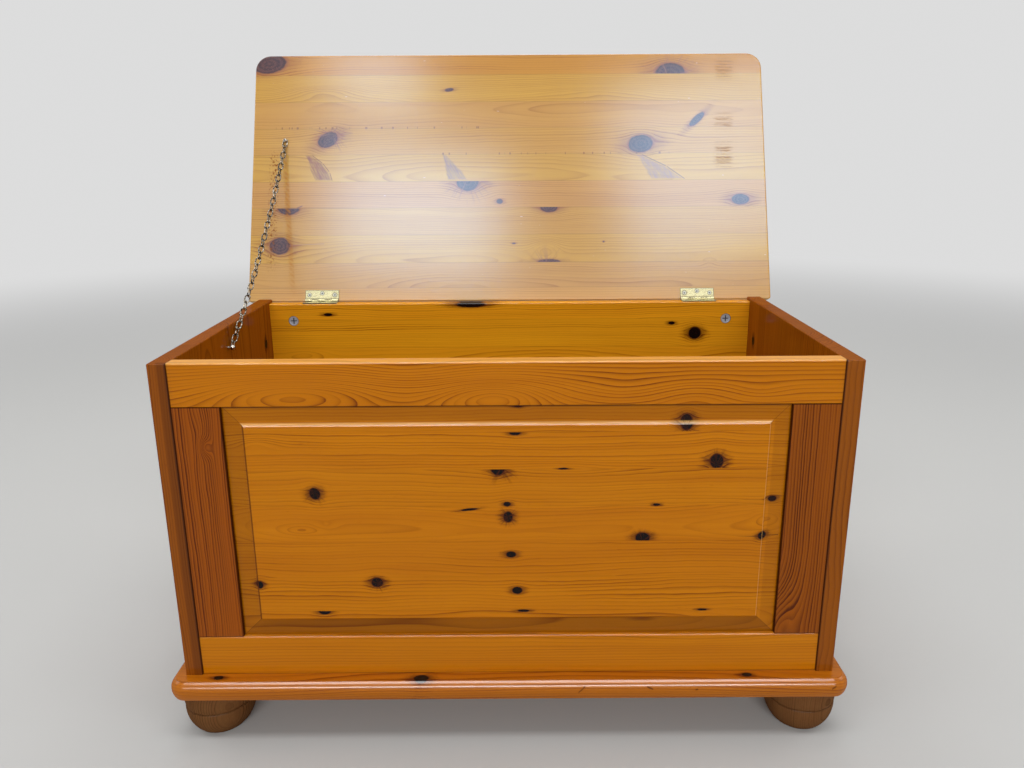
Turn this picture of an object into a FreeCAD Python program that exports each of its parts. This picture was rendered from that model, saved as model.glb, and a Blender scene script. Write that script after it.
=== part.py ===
import FreeCAD, Part
import math
import os
import re
import Sketcher
from FreeCAD import Placement, Rotation, Vector

# A pine blanket chest on bun feet. The lid stands open, held by a chain on its left side.
# The origin lies on the floor under the middle of the open chest. +Z is up, the front faces -Y.

os.makedirs("parts", exist_ok=True)
doc = FreeCAD.newDocument("blanket_chest")

# ---------------------------------------------------------------- driving dimensions, mm and degrees

DIMENSIONS = [
    ("case_wide", 760, "over both side boards"),
    ("case_deep", 376, "side boards, front edge to rear edge"),
    ("case_tall", 378.5, "side boards, above the base board"),
    ("side_thick", 20, "side boards"),
    ("origin_back", 258.3, "origin, behind the side boards' front edges"),
    ("arris", 1.5, "rounding of sawn edges"),
    ("frame_setback", 2, "front frame, behind the side boards' front edges"),
    ("frame_thick", 18, "rails and stiles"),
    ("rail_tall", 49.3, "top and bottom rails"),
    ("rail_round", 2, "long edges of the rails"),
    ("stile_wide", 52, "between the side board and the panel opening"),
    ("groove_from", 4.9, "panel groove, behind the frame's face"),
    ("groove_wide", 6.4, "panel groove"),
    ("groove_deep", 9, "panel groove"),
    ("tongue_from", 5, "panel's tongue, behind the frame's face"),
    ("tongue_thick", 6.2, "panel's tongue and the stiles' tenons"),
    ("tongue_long", 8, "panel's tongue and the stiles' tenons"),
    ("bevel_wide", 17.5, "raised panel's bevel"),
    ("bevel_rise", 1.4, "raised panel's bevel"),
    ("cove_wide", 5.5, "hollow between the bevel and the field"),
    ("field_from", 0.9, "panel's field, behind the frame's face"),
    ("back_thick", 16, "back board"),
    ("base_thick", 23, "base board"),
    ("base_over_side", 17.5, "base board, past the side boards"),
    ("base_over_front", 18.5, "base board, past the side boards' front edges"),
    ("base_corner", 20, "base board's front corners, in plan"),
    ("quirk_in", 6.5, "step in the base board's top, from its outline"),
    ("quirk_deep", 1.2, "step in the base board's top"),
    ("nose_down", 11.5, "widest line of the base board's edge, below its top"),
    ("nose_upper", 12, "radius of the edge above its widest line"),
    ("nose_lower", 21, "radius of the edge below its widest line"),
    ("nose_under", 3, "edge's underside, inside its widest line"),
    ("foot_tall", 55.5, "bun foot"),
    ("foot_inset", 45, "foot's centre, inside the base board's outline"),
    ("foot_neck", 37.5, "foot's radius under the board"),
    ("foot_shoulder", 40.8, "foot's radius above its groove"),
    ("foot_groove", 38.9, "foot's radius in its groove"),
    ("foot_groove_down", 22, "foot's groove, below the board"),
    ("foot_groove_half", 1.4, "half the groove's height"),
    ("foot_contact", 29, "foot's radius on the floor"),
    ("foot_upper_round", 26, "radius of the bulge above the groove"),
    ("foot_lower_round", 42, "radius of the bulge below the groove"),
    ("foot_edge_round", 3, "foot's edge at the floor"),
    ("lid_wide", 795, "lid board"),
    ("lid_deep", 393.2, "lid board, front to rear"),
    ("lid_thick", 20, "lid board"),
    ("lid_behind", 1.4, "lid's rear edge, behind the hinge axis, when shut"),
    ("lid_corner", 24, "lid's front corners, in plan"),
    ("lid_rear_corner", 4, "lid's rear corners, in plan"),
    ("lid_top_round", 9, "lid's upper edge"),
    ("lid_under_round", 2, "lid's lower edge"),
    ("lid_gap", 0.25, "shut lid, above the side boards"),
    ("open_angle", 110.9, "lid's angle from shut, at the end of the chain"),
    ("hinge_long", 50.8, "butt hinge"),
    ("hinge_from_middle", 285, "hinge's centre, from the middle of the chest"),
    ("hinge_behind", 1, "hinge axis, behind the side boards' rear edges"),
    ("leaf_reach", 16, "leaf's front edge, from the axis"),
    ("leaf_thick", 1.2, "leaf"),
    ("barrel_radius", 2.2, "hinge barrel"),
    ("barrel_clear", 0.25, "leaf's outer face, beyond the barrel"),
    ("barrel_play", 0.3, "gap between two knuckles, and round a knuckle"),
    ("pin_radius", 1.1, "hinge pin"),
    ("pin_play", 0.05, "hinge pin in its knuckles, radial"),
    ("leaf_screw_spread", 19.1, "outer screws, from the hinge's centre"),
    ("leaf_screw_outer", 8.6, "outer screws, from the axis"),
    ("leaf_screw_middle", 11.2, "middle screw, from the axis"),
    ("hinge_screw_head", 2.7, "radius"),
    ("hinge_screw_shank", 1.4, "radius"),
    ("hinge_screw_long", 14, "with its head"),
    ("cam_radius", 7.5, "connector cam"),
    ("cam_deep", 11.6, "connector cam"),
    ("cam_sunk", 0.6, "cam's face, below the board's"),
    ("cam_from_side", 34.5, "cam's centre, from the side board"),
    ("cam_back_top", 348, "upper cams of the back board, above the base board"),
    ("cam_back_low", 40, "lower cams of the back board, above the base board"),
    ("bolt_depth", 8, "connector bolt's axis, below the cam's face"),
    ("bolt_radius", 3, "connector bolt's thread in the side board"),
    ("bolt_neck", 2, "connector bolt's neck"),
    ("bolt_ball", 2.6, "connector bolt's head, in the cam"),
    ("bolt_bore", 3.6, "bolt's channel in the board's end"),
    ("bolt_in_side", 10, "connector bolt's thread"),
    ("dowel_radius", 4, "wooden dowel"),
    ("dowel_in_side", 9.5, "wooden dowel"),
    ("dowel_in_board", 20, "wooden dowel"),
    ("dowel_low", 115, "lower dowels, above the base board"),
    ("dowel_high", 255, "upper dowels, above the base board"),
    ("base_screw_head", 4, "radius"),
    ("base_screw_shank", 2, "radius"),
    ("base_screw_long", 45, "with its head"),
    ("base_screw_sunk", 0.5, "screw's head, above the board's underside"),
    ("side_screw_spread", 140, "side boards' outer base screws, from their middle"),
    ("long_screw_spread", 260, "rail's and back board's outer base screws, from the middle"),
    ("foot_bolt_radius", 4, "hanger bolt"),
    ("foot_bolt_down", 30, "hanger bolt, in the foot"),
    ("foot_bolt_up", 15, "hanger bolt, in the base board"),
    ("hole_play", 0.1, "radial play of a hole round its screw, bolt or dowel"),
    ("slot_wide", 1.1, "cross slot of a cam or a large screw"),
    ("chain_screw_head", 3.2, "radius"),
    ("chain_screw_shank", 1.5, "radius"),
    ("chain_screw_long", 14, "chain screw, in the wood"),
    ("end_link_down", 1.65, "end link's middle plane at its screw, below the lid"),
    ("end_link_tilt", 12.2, "end link, from the lid's face"),
    ("end_link_stand", 3.2, "lid's chain screw, head's underside below the lid"),
    ("chain_screw_x", 355.3, "chain's lower end, left of the middle"),
    ("chain_screw_y", 181.5, "chain's lower end, behind the side board's front edge"),
    ("chain_screw_z", 351.8, "chain's lower end, above the base board"),
    ("chain_lid_x", 347.5, "chain's upper end, left of the middle"),
    ("chain_lid_y", 251.8, "chain's upper end, from the hinge axis"),
    ("link_inner", 11.585, "chain link, inside length"),
    ("link_wide", 8.4, "chain link, outside width"),
    ("link_wire", 1.8, "chain link, wire diameter"),
    ("link_play", 0.1, "gap between two links' wires"),
]

dims = doc.addObject("Spreadsheet::Sheet", "dims")
for row, (alias, amount, note) in enumerate(DIMENSIONS, start=1):
    dims.set(f"A{row}", alias)
    dims.set(f"B{row}", str(amount))
    dims.setAlias(f"B{row}", alias)
    dims.set(f"C{row}", note)
doc.recompute()
ALIASES = {alias for alias, amount, note in DIMENSIONS}

# places and lengths that follow from the sheet
INSIDE_WIDE = "(case_wide - 2 * side_thick)"
OPENING_WIDE = "(case_wide - 2 * side_thick - 2 * stile_wide)"
OPENING_TALL = "(case_tall - 2 * rail_tall)"
HINGE_FACE = "(barrel_radius + barrel_clear)"
BACK_TALL = f"(case_tall + lid_gap - 2 * {HINGE_FACE})"
BASE_TOP = "(foot_tall + base_thick)"
AXIS_Y = "(case_deep + hinge_behind - origin_back)"
AXIS_Z = f"(foot_tall + base_thick + case_tall + lid_gap - {HINGE_FACE})"
FRAME_FRONT = "(frame_setback - origin_back)"
BACK_FRONT = "(case_deep - back_thick - origin_back)"


def formula(text):
    """The text with the sheet's names written as an expression names them."""
    return re.sub(r"[a-z_]+", lambda word: "dims." + word[0] if word[0] in ALIASES else word[0], text)


def size(text):
    """The text's value now, in mm or degrees."""
    return float(dims.evalExpression(formula(text)))


# ---------------------------------------------------------------- sketches and features

def new_body(label):
    body = doc.addObject("PartDesign::Body", label)
    body.Label = label
    return body


def new_sketch(body, plane, lift="0"):
    """A sketch on an origin plane of the body, lifted along the plane's normal."""
    sketch = body.newObject("Sketcher::SketchObject", f"{body.Label}_sketch")
    role = [feature for feature in body.Origin.OriginFeatures if feature.Role == plane]
    sketch.AttachmentSupport = (role[0], [""])
    sketch.MapMode = "FlatFace"
    sketch.setExpression("AttachmentOffset.Base.z", formula(lift))
    return sketch


def hold(sketch, kind, text, *points):
    """A dimension of the sketch that follows the sheet."""
    held = sketch.addConstraint(Sketcher.Constraint(kind, *points, size(text)))
    sketch.setExpression(f"Constraints[{held}]", formula(text))


def hold_point(sketch, item, end, x, y):
    """Holds one point of a sketch item at x, y from the sketch's origin."""
    for kind, text, axis in (("DistanceX", x, -2), ("DistanceY", y, -1)):
        if abs(size(text)) < 1e-9:
            sketch.addConstraint(Sketcher.Constraint("PointOnObject", item, end, axis))
        elif size(text) > 0:
            hold(sketch, kind, text, -1, 1, item, end)
        else:
            hold(sketch, kind, f"-({text})", item, end, -1, 1)


def outline(sketch, corners, bulges=None):
    """A closed outline through the corners. bulges gives the radius of the sides that are arcs:
    positive where the middle lies left of the way from corner to corner."""
    bulges = bulges or {}
    first = sketch.GeometryCount
    points = [Vector(size(x), size(y), 0) for x, y in corners]
    for side, (start, end) in enumerate(zip(points, points[1:] + points[:1])):
        if side in bulges:
            sketch.addGeometry(bulged(start, end, *bulges[side]), False)
        else:
            sketch.addGeometry(Part.LineSegment(start, end), False)
    for side in range(len(points)):
        before = (side - 1) % len(points)
        sketch.addConstraint(Sketcher.Constraint(
            "Coincident", first + before, far_end(before, bulges), first + side, near_end(side, bulges)))
        hold_point(sketch, first + side, near_end(side, bulges), *corners[side])
    for side, (radius, left) in bulges.items():
        hold(sketch, "Radius", radius, first + side)


def near_end(side, bulges):
    """A sketch arc runs anticlockwise, so one that bulges left is drawn from its far end."""
    return 2 if side in bulges and bulges[side][1] else 1


def far_end(side, bulges):
    return 3 - near_end(side, bulges)


def bulged(start, end, radius, left):
    """An arc of the radius from start to end, its middle to the left or right of the way."""
    chord = end - start
    normal = Vector(-chord.y, chord.x, 0).normalize() * (1 if left else -1)
    radius = size(radius)
    rise = radius - math.sqrt(radius ** 2 - (chord.Length / 2) ** 2)
    middle = (start + end) * 0.5 + normal * rise
    if left:
        return Part.Arc(end, middle, start)
    return Part.Arc(start, middle, end)


def rectangle(sketch, left, right, low, high):
    outline(sketch, [(left, low), (right, low), (right, high), (left, high)])


def circle(sketch, x, y, radius):
    item = sketch.addGeometry(Part.Circle(Vector(size(x), size(y), 0), Vector(0, 0, 1), size(radius)), False)
    hold_point(sketch, item, 3, x, y)
    hold(sketch, "Radius", radius, item)


def pad(body, sketch, length, side="One side", backwards=False):
    feature = body.newObject("PartDesign::Pad", f"{body.Label}_pad")
    feature.Profile = sketch
    feature.SideType = side
    feature.Reversed = backwards
    feature.setExpression("Length", formula(length))
    doc.recompute()


def pocket(body, sketch, length, backwards=False):
    """Cuts the sketch's outlines to the length, and checks that wood has gone."""
    before = body.Shape.Volume
    feature = body.newObject("PartDesign::Pocket", f"{body.Label}_pocket")
    feature.Profile = sketch
    feature.Reversed = backwards
    feature.setExpression("Length", formula(length))
    doc.recompute()
    cut = before - body.Shape.Volume
    least = 0.5 * size(length) * sum(Part.Face(wire).Area for wire in sketch.Shape.Wires)
    if cut < least:
        raise RuntimeError(f"{feature.Label} cut {cut:.1f} mm3, less than {least:.1f}")


def drill(body, plane, lift, holes, depth, backwards=False):
    """Round holes, each (x, y, radius), from the lifted plane into the body."""
    sketch = new_sketch(body, plane, lift)
    for x, y, radius in holes:
        circle(sketch, x, y, radius)
    doc.recompute()
    pocket(body, sketch, depth, backwards)


def round_over(body, radius, wanted):
    """Rounds the edges that wanted() picks from the middle point of each."""
    edges = [f"Edge{number}" for number, edge in enumerate(body.Shape.Edges, start=1)
             if wanted(edge.CenterOfMass)]
    if not edges:
        raise RuntimeError(f"{body.Label} has no edge to round")
    before = body.Tip
    feature = body.newObject("PartDesign::Fillet", f"{body.Label}_round")
    feature.Base = (before, edges)
    feature.setExpression("Radius", formula(radius))
    doc.recompute()


def near(value, text):
    return abs(value - size(text)) < 0.05


def put(item, x="0", y="0", z="0"):
    """Places a finished piece in the chest."""
    for axis, text in zip("xyz", (x, y, z)):
        item.setExpression(f"Placement.Base.{axis}", formula(text))


def put_on_lid(item, x="0"):
    """Places a piece that is drawn about the hinge axis with the lid shut on the open lid."""
    item.Placement = Placement(Vector(), Rotation(Vector(-1, 0, 0), size("open_angle")))
    item.setExpression("Placement.Rotation.Angle", formula("open_angle"))
    put(item, x, AXIS_Y, AXIS_Z)


# ---------------------------------------------------------------- wooden pieces of the case

CAM_HOLE = "(cam_radius + hole_play)"
CAM_X = f"({INSIDE_WIDE} / 2 - cam_from_side)"
DOWEL_HOLE = "(dowel_radius + hole_play)"
BOLT_HOLE = "(bolt_radius + hole_play)"
SCREW_HOLE = "(base_screw_shank + hole_play)"
SCREW_IN_CASE = "(base_screw_long - base_thick + 1)"
FRAME_BOLT_Y = "(frame_setback + frame_thick - bolt_depth)"
BACK_BOLT_Y = "(case_deep - back_thick + bolt_depth)"
FRAME_DOWEL_Y = "(frame_setback + frame_thick / 2)"
BACK_DOWEL_Y = "(case_deep - back_thick / 2)"
RAIL_BOLT_Z = ["(rail_tall / 2)", "(case_tall - rail_tall / 2)"]
BACK_BOLT_Z = ["cam_back_low", "cam_back_top"]
DOWEL_Z = ["dowel_low", "dowel_high"]


def side_board(label, hand):
    """hand is -1 for the left board and 1 for the right one."""
    body = new_body(label)
    sketch = new_sketch(body, "YZ_Plane")
    rectangle(sketch, "0", "case_deep", "0", "case_tall")
    pad(body, sketch, "side_thick", "Symmetric")
    round_over(body, "arris", lambda middle: middle.z > 1)
    inward = hand < 0
    bolts = [(FRAME_BOLT_Y, z, BOLT_HOLE) for z in RAIL_BOLT_Z]
    bolts += [(BACK_BOLT_Y, z, BOLT_HOLE) for z in BACK_BOLT_Z]
    dowels = [(y, z, DOWEL_HOLE) for y in (FRAME_DOWEL_Y, BACK_DOWEL_Y) for z in DOWEL_Z]
    drill(body, "YZ_Plane", "0", bolts + dowels, "side_thick / 2", backwards=inward)
    if hand < 0:
        chain = [("chain_screw_y", "chain_screw_z", "chain_screw_shank + hole_play")]
        drill(body, "YZ_Plane", "side_thick / 2", chain, "chain_screw_long + 0.5")
    screws = [("0", f"case_deep / 2 + ({way}) * side_screw_spread", SCREW_HOLE) for way in (-1, 0, 1)]
    drill(body, "XY_Plane", "0", screws, SCREW_IN_CASE, backwards=True)
    put(body, f"({hand}) * (case_wide - side_thick) / 2", "0 - origin_back", BASE_TOP)
    return body


def rail(label, groove_up):
    """A rail of the front frame, its groove in the lower edge, or in the upper one if groove_up."""
    body = new_body(label)
    sketch = new_sketch(body, "YZ_Plane")
    low = "rail_tall" if groove_up else "0"
    deep = "rail_tall - groove_deep" if groove_up else "groove_deep"
    high = "0" if groove_up else "rail_tall"
    back = "groove_from + groove_wide"
    outline(sketch, [("0", low), ("groove_from", low), ("groove_from", deep), (back, deep),
                     (back, low), ("frame_thick", low), ("frame_thick", high), ("0", high)])
    pad(body, sketch, INSIDE_WIDE, "Symmetric")
    outer_faces = ("0", "frame_thick")
    top = size("rail_tall")
    round_over(body, "rail_round", lambda middle: abs(middle.x) < 1 and abs(middle.z - top) < 0.1
               and any(near(middle.y, face) for face in outer_faces))
    if not groove_up:
        round_over(body, "arris", lambda middle: abs(middle.x) < 1 and abs(middle.z) < 0.1
                   and near(middle.y, "0"))
    cams = [(f"({way}) * {CAM_X}", "rail_tall / 2", CAM_HOLE) for way in (-1, 1)]
    drill(body, "XZ_Plane", "-frame_thick", cams, "cam_deep + cam_sunk + 0.2", backwards=True)
    for way in (-1, 1):
        channel = [("frame_thick - bolt_depth", "rail_tall / 2", "bolt_bore")]
        drill(body, "YZ_Plane", f"({way}) * {INSIDE_WIDE} / 2", channel, "cam_from_side", backwards=way < 0)
    if groove_up:
        screws = [(f"({way}) * long_screw_spread", "frame_thick / 2", SCREW_HOLE) for way in (-1, 0, 1)]
        drill(body, "XY_Plane", "0", screws, SCREW_IN_CASE, backwards=True)
    put(body, "0", FRAME_FRONT, BASE_TOP if groove_up else f"{BASE_TOP} + case_tall - rail_tall")
    return body


def stile(label, hand):
    """An upright of the front frame, with a tenon at each end for the rails' grooves."""
    body = new_body(label)
    inner = f"({-hand}) * stile_wide"
    groove = f"({-hand}) * (stile_wide - groove_deep)"
    back = "groove_from + groove_wide"
    sketch = new_sketch(body, "XY_Plane")
    outline(sketch, [("0", "0"), (inner, "0"), (inner, "groove_from"), (groove, "groove_from"),
                     (groove, back), (inner, back), (inner, "frame_thick"), ("0", "frame_thick")])
    pad(body, sketch, OPENING_TALL)
    round_over(body, "arris", lambda middle: near(middle.x, inner) and near(middle.y, "0"))
    tenon = new_sketch(body, "XY_Plane", "-tongue_long")
    rectangle(tenon, "0", groove, "tongue_from", "tongue_from + tongue_thick")
    pad(body, tenon, f"{OPENING_TALL} + 2 * tongue_long")
    dowels = [("frame_thick / 2", f"{z} - rail_tall", DOWEL_HOLE) for z in DOWEL_Z]
    drill(body, "YZ_Plane", "0", dowels, "dowel_in_board", backwards=hand < 0)
    put(body, f"({hand}) * {INSIDE_WIDE} / 2", FRAME_FRONT, f"{BASE_TOP} + rail_tall")
    return body


def raised_panel(label):
    """The loose panel: a flat back with a tongue all round, a bevel, a hollow and the raised field."""
    body = new_body(label)
    half_wide = f"({OPENING_WIDE} / 2)"
    half_tall = f"({OPENING_TALL} / 2)"
    tongue = new_sketch(body, "XZ_Plane", "-(tongue_from + tongue_thick)")
    wide = f"{half_wide} + tongue_long"
    tall = f"{half_tall} + tongue_long"
    rectangle(tongue, f"-({wide})", wide, f"-({tall})", tall)
    pad(body, tongue, "tongue_thick")
    bevel_top = "(tongue_from - bevel_rise)"
    steps = [("0", "tongue_from"), ("bevel_wide", bevel_top)]
    for turn in (30, 55, 75, 90):
        steps.append((f"bevel_wide + cove_wide * {math.sin(math.radians(turn)):.4f}",
                      f"field_from + ({bevel_top} - field_from) * {math.cos(math.radians(turn)):.4f}"))
    sections = []
    for inset, depth in steps:
        section = new_sketch(body, "XZ_Plane", f"-({depth})")
        wide = f"{half_wide} - ({inset})"
        tall = f"{half_tall} - ({inset})"
        rectangle(section, f"-({wide})", wide, f"-({tall})", tall)
        sections.append(section)
    raised = body.newObject("PartDesign::AdditiveLoft", f"{label}_raised")
    raised.Profile = sections[0]
    raised.Sections = sections[1:]
    raised.Ruled = True
    doc.recompute()
    put(body, "0", FRAME_FRONT, f"{BASE_TOP} + case_tall / 2")
    return body


def back_board(label):
    body = new_body(label)
    sketch = new_sketch(body, "XZ_Plane", "-back_thick")
    half = f"{INSIDE_WIDE} / 2"
    rectangle(sketch, f"-{half}", half, "0", BACK_TALL)
    pad(body, sketch, "back_thick")
    top = size(BACK_TALL)
    round_over(body, "arris", lambda middle: abs(middle.z - top) < 0.1 and abs(middle.x) < 1)
    cams = [(f"({way}) * {CAM_X}", z, CAM_HOLE) for way in (-1, 1) for z in BACK_BOLT_Z]
    drill(body, "XZ_Plane", "0", cams, "cam_deep + cam_sunk + 0.2")
    for way in (-1, 1):
        ends = [("bolt_depth", z, "bolt_bore") for z in BACK_BOLT_Z]
        drill(body, "YZ_Plane", f"({way}) * {half}", ends, "cam_from_side", backwards=way < 0)
        dowels = [("back_thick / 2", z, DOWEL_HOLE) for z in DOWEL_Z]
        drill(body, "YZ_Plane", f"({way}) * {half}", dowels, "dowel_in_board + 0.2", backwards=way < 0)
    screws = [(f"({way}) * long_screw_spread", "back_thick / 2", SCREW_HOLE) for way in (-1, 0, 1)]
    drill(body, "XY_Plane", "0", screws, SCREW_IN_CASE, backwards=True)
    pilots = []
    for way in (-1, 1):
        for along, reach in LEAF_SCREWS:
            pilots.append((f"({way}) * hinge_from_middle + {along}",
                           f"back_thick + hinge_behind - {reach}", "hinge_screw_shank + hole_play"))
    drill(body, "XY_Plane", BACK_TALL, pilots, "hinge_screw_long - leaf_thick + 0.5")
    put(body, "0", BACK_FRONT, BASE_TOP)
    return body


def base_board(label):
    """The board under the case: a small step and a rounded edge run along its front and its ends."""
    body = new_body(label)
    half = "(case_wide / 2 + base_over_side)"
    plan = new_sketch(body, "XY_Plane", "-base_thick")
    rectangle(plan, f"-{half}", half, "-base_over_front", "case_deep")
    pad(body, plan, "base_thick")
    round_over(body, "base_corner", lambda middle: near(middle.y, "-base_over_front")
               and abs(abs(middle.x) - size(half)) < 0.1)
    names = []
    for number, edge in enumerate(body.Shape.Edges, start=1):
        middle = edge.CenterOfMass
        if abs(middle.z) < 0.01 and not near(middle.y, "case_deep"):
            names.append(f"Edge{number}")
    waste = new_sketch(body, "XZ_Plane", "-case_deep")
    outline(waste, [
        (f"-({half} - quirk_in)", "1"), (f"-({half} - quirk_in)", "-quirk_deep"), (f"-{half}", "-nose_down"),
        (f"-({half} - nose_under)", "-base_thick"), (f"-({half} - nose_under)", "-(base_thick + 1)"),
        (f"-({half} + 3)", "-(base_thick + 1)"), (f"-({half} + 3)", "1")],
        {1: ("nose_upper", False), 2: ("nose_lower", False)})
    doc.recompute()
    before = body.Shape.Volume
    plain = body.Tip
    moulding = body.newObject("PartDesign::SubtractivePipe", f"{label}_moulding")
    moulding.Profile = waste
    moulding.Spine = (plain, names)
    moulding.SpineTangent = True
    doc.recompute()
    if body.Shape.Volume > before - 1000:
        raise RuntimeError("the base board has no moulding")
    side_x = "(case_wide - side_thick) / 2"
    screws = [(f"({hand}) * {side_x}", f"case_deep / 2 + ({way}) * side_screw_spread")
              for hand in (-1, 1) for way in (-1, 0, 1)]
    screws += [(f"({way}) * long_screw_spread", FRAME_DOWEL_Y) for way in (-1, 0, 1)]
    screws += [(f"({way}) * long_screw_spread", BACK_DOWEL_Y) for way in (-1, 0, 1)]
    through = [(x, y, SCREW_HOLE) for x, y in screws]
    sunk = [(x, y, "base_screw_head + hole_play") for x, y in screws]
    drill(body, "XY_Plane", "-base_thick", through, "base_thick", backwards=True)
    drill(body, "XY_Plane", "-base_thick", sunk, "base_screw_sunk + 3.2", backwards=True)
    bolts = [(x, f"{y} + origin_back", "foot_bolt_radius + hole_play") for x, y in FOOT_CENTRES]
    drill(body, "XY_Plane", "-base_thick", bolts, "foot_bolt_up + 1", backwards=True)
    put(body, "0", "0 - origin_back", BASE_TOP)
    return body, screws


FOOT_X = "(case_wide / 2 + base_over_side - foot_inset)"
FOOT_FRONT_Y = "(foot_inset - base_over_front - origin_back)"
FOOT_REAR_Y = "(case_deep - foot_inset - origin_back)"
FOOT_CENTRES = [(f"({hand}) * {FOOT_X}", y) for y in (FOOT_FRONT_Y, FOOT_REAR_Y) for hand in (-1, 1)]


def bun_foot(label, x, y):
    """A turned foot, its top face against the base board."""
    body = new_body(label)
    sketch = new_sketch(body, "XZ_Plane")
    upper = "foot_groove_half - foot_groove_down"
    lower = "-(foot_groove_half + foot_groove_down)"
    outline(sketch, [
        ("0", "0"), ("foot_neck", "0"), ("foot_shoulder", upper), ("foot_groove", "-foot_groove_down"),
        ("foot_shoulder", lower), ("foot_contact", "-foot_tall"), ("0", "-foot_tall")],
        {1: ("foot_upper_round", True), 4: ("foot_lower_round", True)})
    turned = body.newObject("PartDesign::Revolution", f"{label}_turned")
    turned.Profile = sketch
    turned.ReferenceAxis = (sketch, ["V_Axis"])
    turned.Angle = 360
    doc.recompute()
    round_over(body, "foot_edge_round", lambda middle: near(middle.z, "-foot_tall"))
    drill(body, "XY_Plane", "0", [("0", "0", "foot_bolt_radius + hole_play")], "foot_bolt_down + 1")
    put(body, x, y, "foot_tall")
    return body


# ---------------------------------------------------------------- lid board

LEAF_SCREWS = [("(-leaf_screw_spread)", "leaf_screw_outer"), ("0", "leaf_screw_middle"),
               ("leaf_screw_spread", "leaf_screw_outer")]


def lid_board(label):
    """The lid, drawn shut about the hinge axis, then swung open."""
    body = new_body(label)
    half = "lid_wide / 2"
    front = "(lid_behind - lid_deep)"
    sketch = new_sketch(body, "XY_Plane", HINGE_FACE)
    rectangle(sketch, f"-{half}", half, front, "lid_behind")
    pad(body, sketch, "lid_thick")
    corner = size(half)
    round_over(body, "lid_corner", lambda middle: near(middle.y, front) and abs(abs(middle.x) - corner) < 0.1)
    round_over(body, "lid_rear_corner", lambda middle: near(middle.y, "lid_behind")
               and abs(abs(middle.x) - corner) < 0.1)
    round_over(body, "lid_top_round", lambda middle: near(middle.z, f"{HINGE_FACE} + lid_thick")
               and not near(middle.y, "lid_behind"))
    round_over(body, "lid_under_round", lambda middle: near(middle.z, HINGE_FACE)
               and not near(middle.y, "lid_behind"))
    pilots = []
    for way in (-1, 1):
        for along, reach in LEAF_SCREWS:
            pilots.append((f"({way}) * hinge_from_middle + {along}", f"-{reach}",
                           "hinge_screw_shank + hole_play"))
    pilots.append(("-chain_lid_x", "-chain_lid_y", "chain_screw_shank + hole_play"))
    drill(body, "XY_Plane", HINGE_FACE, pilots, "chain_screw_long + 0.5", backwards=True)
    put_on_lid(body)
    return body


# ---------------------------------------------------------------- turned and pressed metal

TURNS = {
    "+Z": Rotation(), "-Z": Rotation(Vector(1, 0, 0), 180),
    "+X": Rotation(Vector(0, 1, 0), 90), "-X": Rotation(Vector(0, 1, 0), -90),
    "+Y": Rotation(Vector(1, 0, 0), -90), "-Y": Rotation(Vector(1, 0, 0), 90),
}


def primitive(kind, name, turn="+Z", at=("0", "0", "0"), **sizes):
    """A Part primitive with its sizes and place bound to the sheet, its own +Z turned to an axis."""
    item = doc.addObject(f"Part::{kind}", name)
    for prop, text in sizes.items():
        item.setExpression(prop, formula(text))
    item.Placement = Placement(Vector(), TURNS[turn])
    put(item, *at)
    return item


def fuse(name, items):
    fused = doc.addObject("Part::MultiFuse", name)
    fused.Shapes = items
    return fused


def cut(name, base, tools):
    result = doc.addObject("Part::Cut", name)
    result.Base = base
    result.Tool = tools[0] if len(tools) == 1 else fuse(f"{name}_tools", tools)
    return result


def group(label, items):
    """Identical separate pieces that share one node."""
    together = doc.addObject("Part::Compound", label)
    together.Label = label
    together.Links = items
    return together


def turned_to(item, turn, at):
    item.Placement = Placement(Vector(), TURNS[turn])
    put(item, *at)
    return item


def cross_slot(name, reach, wide, deep):
    """Two crossed bars that cut a cross slot in a face at z = 0."""
    bars = []
    for along, across in ((reach, wide), (wide, reach)):
        bars.append(primitive("Box", name, at=(f"-({along}) / 2", f"-({across}) / 2", f"-({deep})"),
                              Length=along, Width=across, Height=f"{deep} + 1"))
    return bars


def countersunk_screw(name, head, shank, long, head_deep, slot, turn, at):
    """A wood screw: its head's face at the point at, facing turn, its shank behind."""
    body = fuse(f"{name}_body", [
        primitive("Cone", f"{name}_head", at=("0", "0", f"-({head_deep})"),
                  Radius1=shank, Radius2=head, Height=head_deep),
        primitive("Cylinder", f"{name}_shank", at=("0", "0", f"-({long}) * 0.8"),
                  Radius=shank, Height=f"({long}) * 0.8 - ({head_deep}) + 0.1"),
        primitive("Cone", f"{name}_point", at=("0", "0", f"-({long})"),
                  Radius1="0", Radius2=shank, Height=f"({long}) * 0.2")])
    screw = cut(name, body, cross_slot(f"{name}_slot", f"({head}) * 1.2", slot, f"({head_deep}) * 0.7"))
    return turned_to(screw, turn, at)


def round_screw(name, stand, turn, at):
    """A chain screw that stands out of the wood: the underside of its head at the point at."""
    body = fuse(f"{name}_body", [
        primitive("Sphere", f"{name}_head", Radius="chain_screw_head", Angle1="0"),
        primitive("Cylinder", f"{name}_shank", at=("0", "0", f"-({stand} + chain_screw_long)"),
                  Radius="chain_screw_shank", Height=f"{stand} + chain_screw_long + 0.1")])
    slot = cross_slot(f"{name}_slot", "chain_screw_head * 1.3", "slot_wide * 0.8", "1.2")
    for bar in slot:
        bar.setExpression("Placement.Base.z", formula("chain_screw_head - 1.2"))
    return turned_to(cut(name, body, slot), turn, at)


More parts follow.
